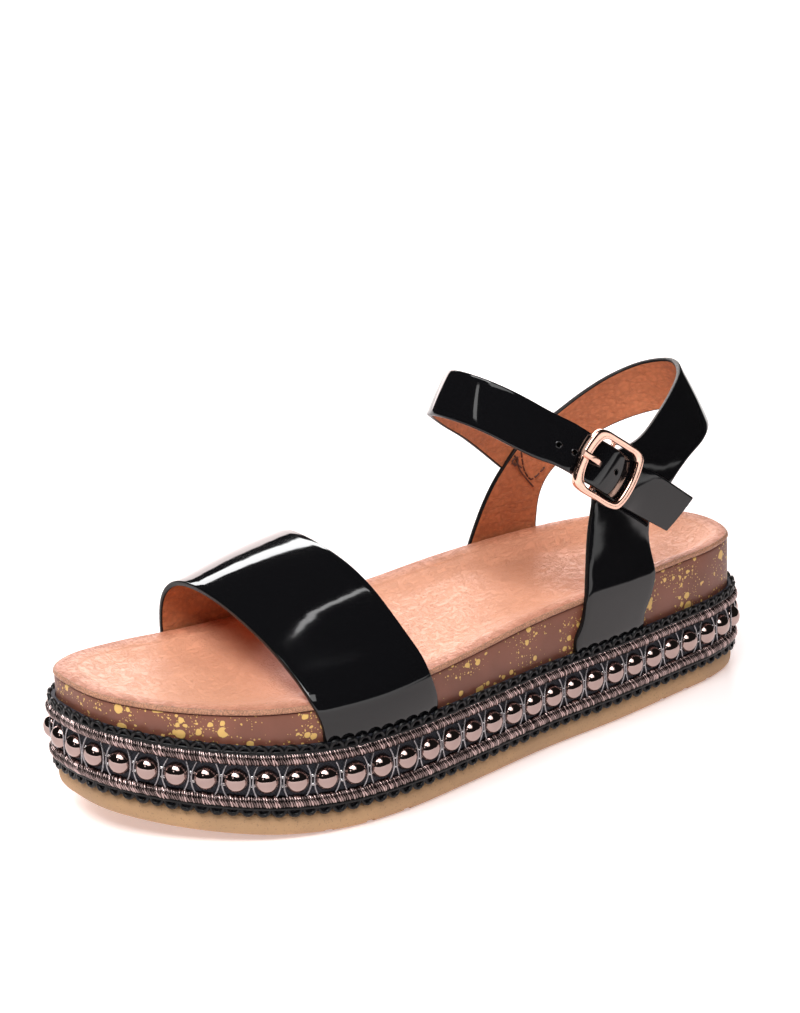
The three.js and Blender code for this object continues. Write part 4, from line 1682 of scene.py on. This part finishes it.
@dataclass(frozen=True)
class Upper:
    """Toe strap, band round the heel and ankle strap."""

    last: Last
    toe_outer: tuple[float, float] = (-66.6, -24.5)
    toe_inner: tuple[float, float] = (-76.5, -34.5)
    heel_outer: tuple[float, float] = (37.6, 69.4)
    heel_inner: tuple[float, float] = (39.0, 69.0)
    in_buckle: tuple[tuple[float, ...], ...] = (
        (-17, -3.4, 7.7), (-11.8, -1.95), (-7.4, -1.8), (-3, -0.6),
        (1.5, -0.35), (5.6, -1.3), (10, -2), (14.4, -1.9, 7.6),
    )
    hole_places: tuple[tuple[float, float], ...] = ((4.66, 0.73), (-21.2, -1.3), (-14.5, -0.9))
    hole_rings: tuple[tuple[float, float], ...] = (
        (1.3, -0.05), (1.12, 0.1), (0.95, 0.12), (0.82, 0.04), (0.78, 0.02), (0.0, 0.02),
    )

    def toe_strap(self) -> Strap:
        """The wide strap over the toes.

        Returns:
            The strap.
        """
        legs = Legs(self.last)
        rows = Strip.of([
            legs.row(1, -68, -25.8, 39.6, 2.5),
            legs.row(1, -69.6, -27.6, 43.6, 2.8),
            (44.4, -70.8, 46.8, 47, -28.1, 47.4, (1, 0, 0.3)),
            (41, -70.7, 49.4, 44.2, -28.5, 50.8, (0.4, 0, 0.4)),
            (34.5, -70.8, 52.2, 39, -28.9, 54),
            (24.3, -71.5, 57.1, 30.2, -29.6, 60),
            (11.3, -72.6, 61.5, 18, -30.5, 67.2),
            (-1.2, -73.6, 64.5, 5, -31.5, 71.8),
            (-14, -74.6, 66.2, -9, -32.5, 74.2),
            (-24.1, -75.4, 66.2, -20.6, -33.4, 74.9),
            (-31.5, -76.1, 64.8, -30.2, -34, 74.5),
            (-37.6, -76.6, 61, -36.6, -34.6, 71.4),
            (-41, -76.8, 55.4, -39.2, -35, 62.5),
            (-42.2, -76.9, 49.6, -39.8, -35.1, 50.6, (-0.6, 0, 0)),
            legs.row(-1, -76.9, -35.1, 44.4, 2.5),
            legs.row(-1, -76.7, -34.9, 40, 2.5),
        ])
        whole = legs.leg(1, self.toe_outer).then(rows.spread(24)).then(legs.leg(-1, self.toe_inner).back())
        return Strap("toe_strap", whole, Away.TOE, 0.9, across=20, soft=4.0)

    def heel_band(self) -> Strap:
        """Outer quarter, heel strap and inner quarter in one band.

        Returns:
            The strap.
        """
        legs = Legs(self.last)
        rows = Strip.of([
            legs.row(1, 39.8, 71.6, 40, 2.5),
            legs.row(1, 41.6, 74, 45, 2.5),
            legs.row(1, 42.1, 74.8, 47.6, 2.5),
            legs.row(1, 42.4, 75.2, 49.2, 2.4),
            (35.3, 42.9, 51.4, 30.5, 75.4, 51.8),
            (33.2, 45.2, 61.8, 29.2, 74.6, 58.6),
            (30.9, 47.8, 71.2, 28.4, 74.6, 64.2),
            (29.1, 51, 79.8, 27.9, 76, 69.2),
            (28.5, 52, 88.4, 28, 78, 72.2),
            (28, 56, 94, 28.1, 80.2, 74.8),
            (27, 64, 95, 28.1, 83.4, 77.8),
            (24.8, 74.5, 96.8, 27, 88.2, 81.6),
            (21.3, 85, 102.4, 24.8, 95.6, 85.8),
            (16.8, 94.4, 107.4, 20.9, 104.4, 88.4),
            (9.6, 103.6, 111.4, 12.5, 113.8, 91),
            (-1, 108.4, 112.6, -1, 118.4, 92.8),
            (-12.3, 104, 110, -14, 113, 90.6),
            (-20.2, 95.4, 105, -22.6, 103, 86.6),
            (-25.6, 86, 98.6, -28, 93, 81.6),
            (-29.2, 76.8, 92, -31.2, 84.4, 75.8),
            (-31.9, 66.5, 85.6, -32.9, 78.8, 71),
            (-33.2, 59, 77.8, -34, 75, 66),
            (-34.2, 53.2, 70, -34.8, 73, 60),
            (-35.4, 48.8, 61.4, -35.2, 72.4, 55),
            (-36.6, 44.6, 50.6, -35.4, 72, 50),
            legs.row(-1, 42.6, 71.4, 45, 2.5),
            legs.row(-1, 40.8, 70.4, 40, 2.5),
        ])
        whole = legs.leg(1, self.heel_outer).then(rows.spread(42)).then(legs.leg(-1, self.heel_inner).back())
        return Strap("heel_band", whole, Away.HEEL, 0.4, across=14)

    def ankle_strap(self, buckle: "Buckle") -> Strap:
        """The strap from the inner quarter over the instep to its tip.

        Args:
            buckle: the buckle that it runs through.

        Returns:
            The strap.
        """
        rows = Strip.of([
            (-33.9, 72.5, 82.2, -34.3, 62.2, 69.8),
            (-34, 64, 88.8, -34.4, 54.4, 77),
            (-32.2, 55, 95.5, -32.4, 46.4, 84),
            (-28.6, 44.5, 102.8, -28.6, 36.6, 91.8),
            (-23.4, 34.5, 110, -24.2, 27, 98.4),
            (-16.4, 25, 117.6, -17.4, 17.2, 105.4),
            (-8, 18.1, 123.3, -8.5, 10.5, 109.8),
            (1.5, 15.6, 126.4, 2, 8.2, 112),
            (9.5, 17.6, 126, 10.8, 11.2, 111),
            (15.9, 23, 123.2, 18, 16.2, 108.2),
            (21, 29.7, 118.8, 23.2, 22.4, 103.8),
            (25.2, 36.7, 113.6, 27.2, 29.4, 99.2),
            *(buckle.row(*place) for place in self.in_buckle),
            (34.8, 73.6, 86.2, 33.2, 64.2, 74.2),
            (35.5, 87.9, 75, 32.5, 78.7, 64.3),
        ])
        return Strap("ankle_strap", rows, Away.ANKLE, 0.3)

    def build(self, buckle: "Buckle") -> None:
        """Make and dress the straps.

        Args:
            buckle: the buckle on the ankle strap.
        """
        patent = Patent().make()
        lining = Hide("lining_tan", (0.63, 0.235, 0.105), (0.49, 0.16, 0.066), 700, 0.42, 0.3).make()
        cut = Thread("strap_edge", (0.007, 0.006, 0.006), 0.0, 0.36, 0.25).make()
        both = (patent, lining, cut)
        dress(self.toe_strap().make(200), "patent_leather", ("vamp_strap",), both)
        dress(self.heel_band().make(260), "patent_leather", ("rear_upper",), both)
        ankle = dress(self.ankle_strap(buckle).make(240), "patent_leather", ("rear_upper",), both)
        self.holes(ankle, buckle, patent)

    def holes(self, strap: bpy.types.Object, buckle: "Buckle", patent: bpy.types.Material) -> None:
        """Set the punched holes into the ankle strap, each a small raised rim round a flat black disc on the
        strap, painted shade in place of the hole's depth.

        Args:
            strap: the ankle strap.
            buckle: the buckle, whose axes the holes are placed on.
            patent: the finish of their rims.
        """
        turn = circle(24)
        pits = []
        for a, b in self.hole_places:
            _, at, out, _ = strap.closest_point_on_mesh(Vector(buckle.at(a, b, 3.0) * MM))
            side = out.orthogonal().normalized()
            x, y, up, middle = (np.array(v) for v in (side, out.cross(side), out, at / MM))
            spokes = [x * math.cos(t) + y * math.sin(t) for t in turn]
            grid = [[middle + spoke * r + up * h for r, h in self.hole_rings] for spoke in spokes]
            pits.append(skin(f"hole{a}", np.array(grid), around=False, along=True, bands=(0, 0, 0, 1, 1)))
        # Painted shade: the middle of each hole is a flat black disc on the strap's face, not a real opening.
        hole_shade = Thread("hole_painted_shade", (0.001, 0.001, 0.001), 0.0, 1.0, 0.0).make()
        dress(join(pits[0], pits[1:]), "patent_leather", ("rear_upper",), (patent, hole_shade))


@dataclass(frozen=True)
class Stitches:
    """Dark stitches on the lining, where the ankle strap is sewn to the inner quarter, with a knot."""

    seam: tuple[tuple[float, float, float], ...] = (
        (-31.1, 64.3, 79.7), (-31.6, 65.0, 76.1), (-32.1, 66.1, 72.4),
        (-32.4, 69.2, 68.2), (-32.0, 72.1, 69.6), (-31.4, 74.8, 72.1),
    )
    tails: tuple[tuple[tuple[float, float, float], ...], ...] = (
        ((-31.3, 62.0, 77.6), (-31.2, 63.4, 73.4), (-31.8, 66.4, 69.4), (-32.2, 69.8, 65.4)),
        ((-31.3, 60.2, 76.4), (-31.0, 62.3, 75.4), (-31.4, 64.4, 73.8)),
        (
            (-31.0, 61.2, 79.0), (-30.6, 62.4, 77.2), (-31.0, 61.4, 75.2),
            (-31.2, 60.4, 77.2), (-30.8, 62.6, 78.4),
        ),
    )
    pitch: float = 2.9
    thread: float = 0.3

    def build(self) -> None:
        """Make and dress the stitches."""
        fine = through(np.array(self.seam), False, steps(0, 1, 200))
        run = np.concatenate([[0], np.cumsum(np.linalg.norm(np.diff(fine, axis=0), axis=1))])
        made = []
        for start in np.arange(0.0, run[-1] - 2.0, self.pitch):
            at = start + steps(0, 2.2, 6)
            path = np.stack([np.interp(at, run, fine[:, k]) for k in range(3)], axis=1)
            path[:, 0] += 0.05 + 0.22 * np.sin(steps(0, math.pi, 6))
            made.append(tube(f"stitch{start}", path, self.thread, 6))
        for k, tail in enumerate(self.tails):
            path = through(np.array(tail), False, steps(0, 1, 24))
            path[:, 0] += 0.25
            made.append(tube(f"tail{k}", path, self.thread, 6))
        brown = Thread("brown_thread", (0.11, 0.035, 0.02), 0.0, 0.6).make()
        dress(join(made[0], made[1:]), "patent_leather", ("rear_upper",), (brown,))


# The buckle


@dataclass(frozen=True)
class Buckle:
    """Bowed frame with its bar and a short prong, placed on axes of its own."""

    place: tuple[float, float, float] = (34.4, 52.9, 92.4)
    half_wide: float = 9.5
    wire: float = 1.2
    bar: float = 0.8
    bar_depth: float = 3.7
    outline: tuple[tuple[float, float, float, float], ...] = (
        (-3.3, 10.9, -2.6, 8.6), (3.6, 11.0, 3.2, 8.7), (7.6, 10.8, 6.3, 8.6),
        (10.2, 9.4, 8.2, 7.3), (11.5, 6.4, 9.1, 4.6), (12.2, 1.6, 9.6, 1.2),
        (12.2, -3.2, 9.5, -2.8), (11.5, -7.0, 9.0, -6.0), (10.1, -9.7, 7.8, -8.2),
        (6.7, -10.9, 5.2, -8.8), (0.6, -11.0, -0.2, -8.9), (-6.6, -11.1, -4.9, -8.9),
        (-9.8, -10.2, -6.9, -7.9), (-11.3, -7.6, -8.1, -5.5), (-12.1, -3.2, -8.8, -2.2),
        (-12.3, 1.4, -8.9, 1.4), (-11.7, 6.2, -8.2, 5.2), (-10.5, 9.4, -7.0, 7.6),
        (-7.6, 10.7, -5.2, 8.5),
    )
    prong_half: tuple[float, float] = (1.0, 0.6)
    prong_turn: tuple[float, ...] = (-60, 0, 60, 120, 180, 225)
    prong_line: tuple[tuple[float, float, float], ...] = (
        (-2.9, 0, -1.1), (-5.2, 0, 0.9), (-8.2, 0, 1.95), (-13, 0, 2.05),
    )

    def axes(self) -> Points:
        """The buckle's own axes.

        Returns:
            Along the strap towards its tip, across it upwards, and out of its face.
        """
        along = unit(np.array([0.1, 0.784, -0.613]))
        out = unit(np.cross(along, (-0.06, 0.616, 0.788)))
        across = unit(np.cross(out, along))
        out = -out if out[0] < 0 else out
        across = -across if across[2] < 0 else across
        return np.stack([along, across, out])

    def at(self, a: Any, b: Any, n: Any) -> Points:
        """Places given along the buckle's axes.

        Args:
            a: distances along the strap.
            b: distances across it.
            n: distances out of its face.

        Returns:
            The places in millimetres.
        """
        axes = self.axes()
        parts = [np.asarray(v, float)[..., None] * axis for v, axis in zip((a, b, n), axes)]
        return np.array(self.place) + parts[0] + parts[1] + parts[2]

    def row(self, a: float, n: float, half: float = 7.5) -> tuple[Any, ...]:
        """A row of the strap in the buckle."""
        return (*self.at(a, half, n), *self.at(a, -half, n))

    @staticmethod
    def rounded(wave: Points, power: float) -> Points:
        """A sine or cosine made squarer."""
        return np.sign(wave) * np.abs(wave) ** power

    def frame(self) -> bpy.types.Object:
        """The closed frame, its face flat between rounded edges.

        Returns:
            The frame.
        """
        table = np.array(self.outline)
        at = np.arange(240) / 240
        outer, inner = through(table[:, :2], True, at), through(table[:, 2:], True, at)
        a = circle(24, 0.5)
        x = self.rounded(np.cos(a), 0.5)[None, :, None]
        y = self.rounded(np.sin(a), 0.42) * self.wire
        q = (outer + inner)[:, None, :] / 2 + (outer - inner)[:, None, :] / 2 * x
        depth = np.broadcast_to(y[None, :], q.shape[:2])
        return skin("buckle_frame_bow", self.at(q[..., 0], q[..., 1], depth), along=True, sharp=50)

    def prong(self) -> bpy.types.Object:
        """The short prong, turned round the bar, that rests on the frame.

        Returns:
            The prong.
        """
        r, count = self.bar + 0.85, 70
        turn = [(r * math.cos(d), 0, -self.bar_depth - r * math.sin(d)) for d in np.radians(self.prong_turn)]
        path = through(np.array([*turn, *self.prong_line], float), False, steps(0, 1, count))
        side = np.tile([0.0, -1.0, 0.0], (count, 1))
        up = np.cross(side, unit(np.gradient(path, axis=0)))
        a = circle(20, 0.5)
        x = self.rounded(np.cos(a), 0.55) * self.prong_half[0]
        y = self.rounded(np.sin(a), 0.55) * self.prong_half[1]
        q = path[:, None, :] + side[:, None, :] * x[None, :, None] + up[:, None, :] * y[None, :, None]
        return skin("buckle_prong_pin", self.at(q[..., 0], q[..., 1], q[..., 2]), sharp=60)

    def build(self) -> None:
        """Make and dress the buckle."""
        gold = Metal("rose_gold", (0.9, 0.56, 0.44), 0.12).make()
        frame_piece = self.frame()
        bars = []
        for sign in (-1, 1):
            ends = self.at([0, 0, 0], [sign * self.half_wide] * 3, [0, -2, -self.bar_depth - self.bar])
            bars.append(tube(f"leg{sign}", ends, self.bar, 12))
        ends = self.at([0, 0, 0], [-self.half_wide, 0, self.half_wide], [-self.bar_depth] * 3)
        bars.append(tube("bar", ends, self.bar, 12))
        join(frame_piece, bars)
        dress(frame_piece, "buckle_metal", ("buckle_frame",), (gold,))
        dress(self.prong(), "buckle_metal", ("buckle_prong",), (gold,))


def join(first: bpy.types.Object, others: Sequence[bpy.types.Object]) -> bpy.types.Object:
    """Put the meshes of others into the first object.

    Args:
        first: the object that stays.
        others: the objects that go.

    Returns:
        The first object.
    """
    bm = bmesh.new()
    for made in (first, *others):
        bm.from_mesh(made.data)
    bm.to_mesh(first.data)
    bm.free()
    for made in others:
        drop(made)
    return first


# Floor, light and camera


@dataclass(frozen=True)
class Studio:
    """Pale floor, soft light and the camera of the photograph."""

    azimuth: float = 57.68
    elevation: float = 19.09
    roll: float = -2.42
    place: tuple[float, float, float] = (677.1, -435.2, 360.8)
    lens: float = 91.65
    floor_half: float = 6.0

    def camera(self) -> None:
        """Place the camera."""
        a, e, r = (math.radians(v) for v in (self.azimuth, self.elevation, self.roll))
        back = Vector((math.sin(a) * math.cos(e), -math.cos(a) * math.cos(e), math.sin(e)))
        right = Vector((math.cos(a), math.sin(a), 0))
        up = back.cross(right)
        turned = math.cos(r) * right + math.sin(r) * up
        upright = -math.sin(r) * right + math.cos(r) * up
        data = bpy.data.cameras.new("camera")
        data.lens, data.sensor_width, data.sensor_fit = self.lens, 36.0, "AUTO"
        data.clip_start, data.clip_end = 0.01, 60.0
        made = bpy.data.objects.new("camera", data)
        bpy.context.scene.collection.objects.link(made)
        turn = Matrix((turned, upright, back)).transposed()
        made.matrix_world = Matrix.Translation(Vector(self.place) * MM) @ turn.to_4x4()
        bpy.context.scene.camera = made

    def floor(self) -> None:
        """Lay the floor."""
        mesh = bpy.data.meshes.new("floor")
        r = self.floor_half
        mesh.from_pydata([(-r, -r, 0), (r, -r, 0), (r, r, 0), (-r, r, 0)], [], [(0, 1, 2, 3)])
        made = new_object("floor", mesh)
        mesh.materials.append(Ground().make())
        made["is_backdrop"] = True

    def lamp(
        self,
        name: str,
        azimuth: float,
        elevation: float,
        distance: float,
        size: tuple[float, float],
        glow: float,
        colour: Sequence[float] = (1, 1, 1),
        spin: float = 0.0,
    ) -> None:
        """A soft box that looks at the sandal.

        Args:
            name: the lamp's name.
            azimuth: direction it stands in, in degrees from the toe to the outer side.
            elevation: its height over the floor as an angle in degrees.
            distance: how far it stands from the sandal, in metres.
            size: its width and height in metres.
            glow: its brightness, 1 for a white surface in full light.
            colour: its colour.
            spin: its turn in its own plane in degrees.
        """
        a, e = math.radians(azimuth), math.radians(elevation)
        to = Vector((math.sin(a) * math.cos(e), -math.cos(a) * math.cos(e), math.sin(e)))
        data = bpy.data.lights.new(name, "AREA")
        data.shape, data.size, data.size_y = "RECTANGLE", size[0], size[1]
        data.energy, data.color = glow * math.pi * size[0] * size[1], colour
        made = bpy.data.objects.new(name, data)
        turn = to.to_track_quat("Z", "Y").to_matrix() @ Matrix.Rotation(math.radians(spin), 3, "Z")
        made.matrix_world = Matrix.Translation(Vector((0, 0, 0.05)) + to * distance) @ turn.to_4x4()
        bpy.context.scene.collection.objects.link(made)

    def build(self) -> None:
        """Set up the camera, the floor and the light."""
        self.camera()
        self.floor()
        world = bpy.data.worlds.new("studio")
        world.use_nodes = True
        world.node_tree.nodes["Background"].inputs[0].default_value = (1.0, 0.97, 0.96, 1.0)
        world.node_tree.nodes["Background"].inputs[1].default_value = 0.02
        bpy.context.scene.world = world
        bpy.context.scene.view_settings.view_transform = "Standard"
        self.lamp("key", 30, 60, 1.7, (1.2, 0.9), 8.5)
        self.lamp("fill", 70, 48, 1.8, (0.9, 0.8), 3.0)
        self.lamp("crown", -108, 35.5, 2.5, (2.2, 0.24), 10.0)
        self.lamp("back", -110, 12.5, 3.0, (2.6, 1.5), 5.0, (1.0, 0.88, 0.86))
        self.lamp("streak", -146, 72, 1.5, (0.34, 0.045), 6.0, spin=36)
        self.lamp("front", 28, 27, 1.6, (0.16, 0.3), 3.2)


def main() -> None:
    """Build the sandal and its studio."""
    logging.basicConfig(level=logging.INFO, format="%(name)s %(message)s")
    last = Last()
    stations = Stations(last)
    Studio().build()
    Sole(last).build(stations)
    Braid(last).build()
    buckle = Buckle()
    Upper(last).build(buckle)
    Stitches().build()
    buckle.build()
    {"cad": plain(CAD_BOX), "visual": plain(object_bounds())}


def plain(box: Any) -> list[Any]:
    """A box as plain lists of numbers."""
    return [[float(v) for v in corner] for corner in box]


if __name__ == "__main__":
    main()
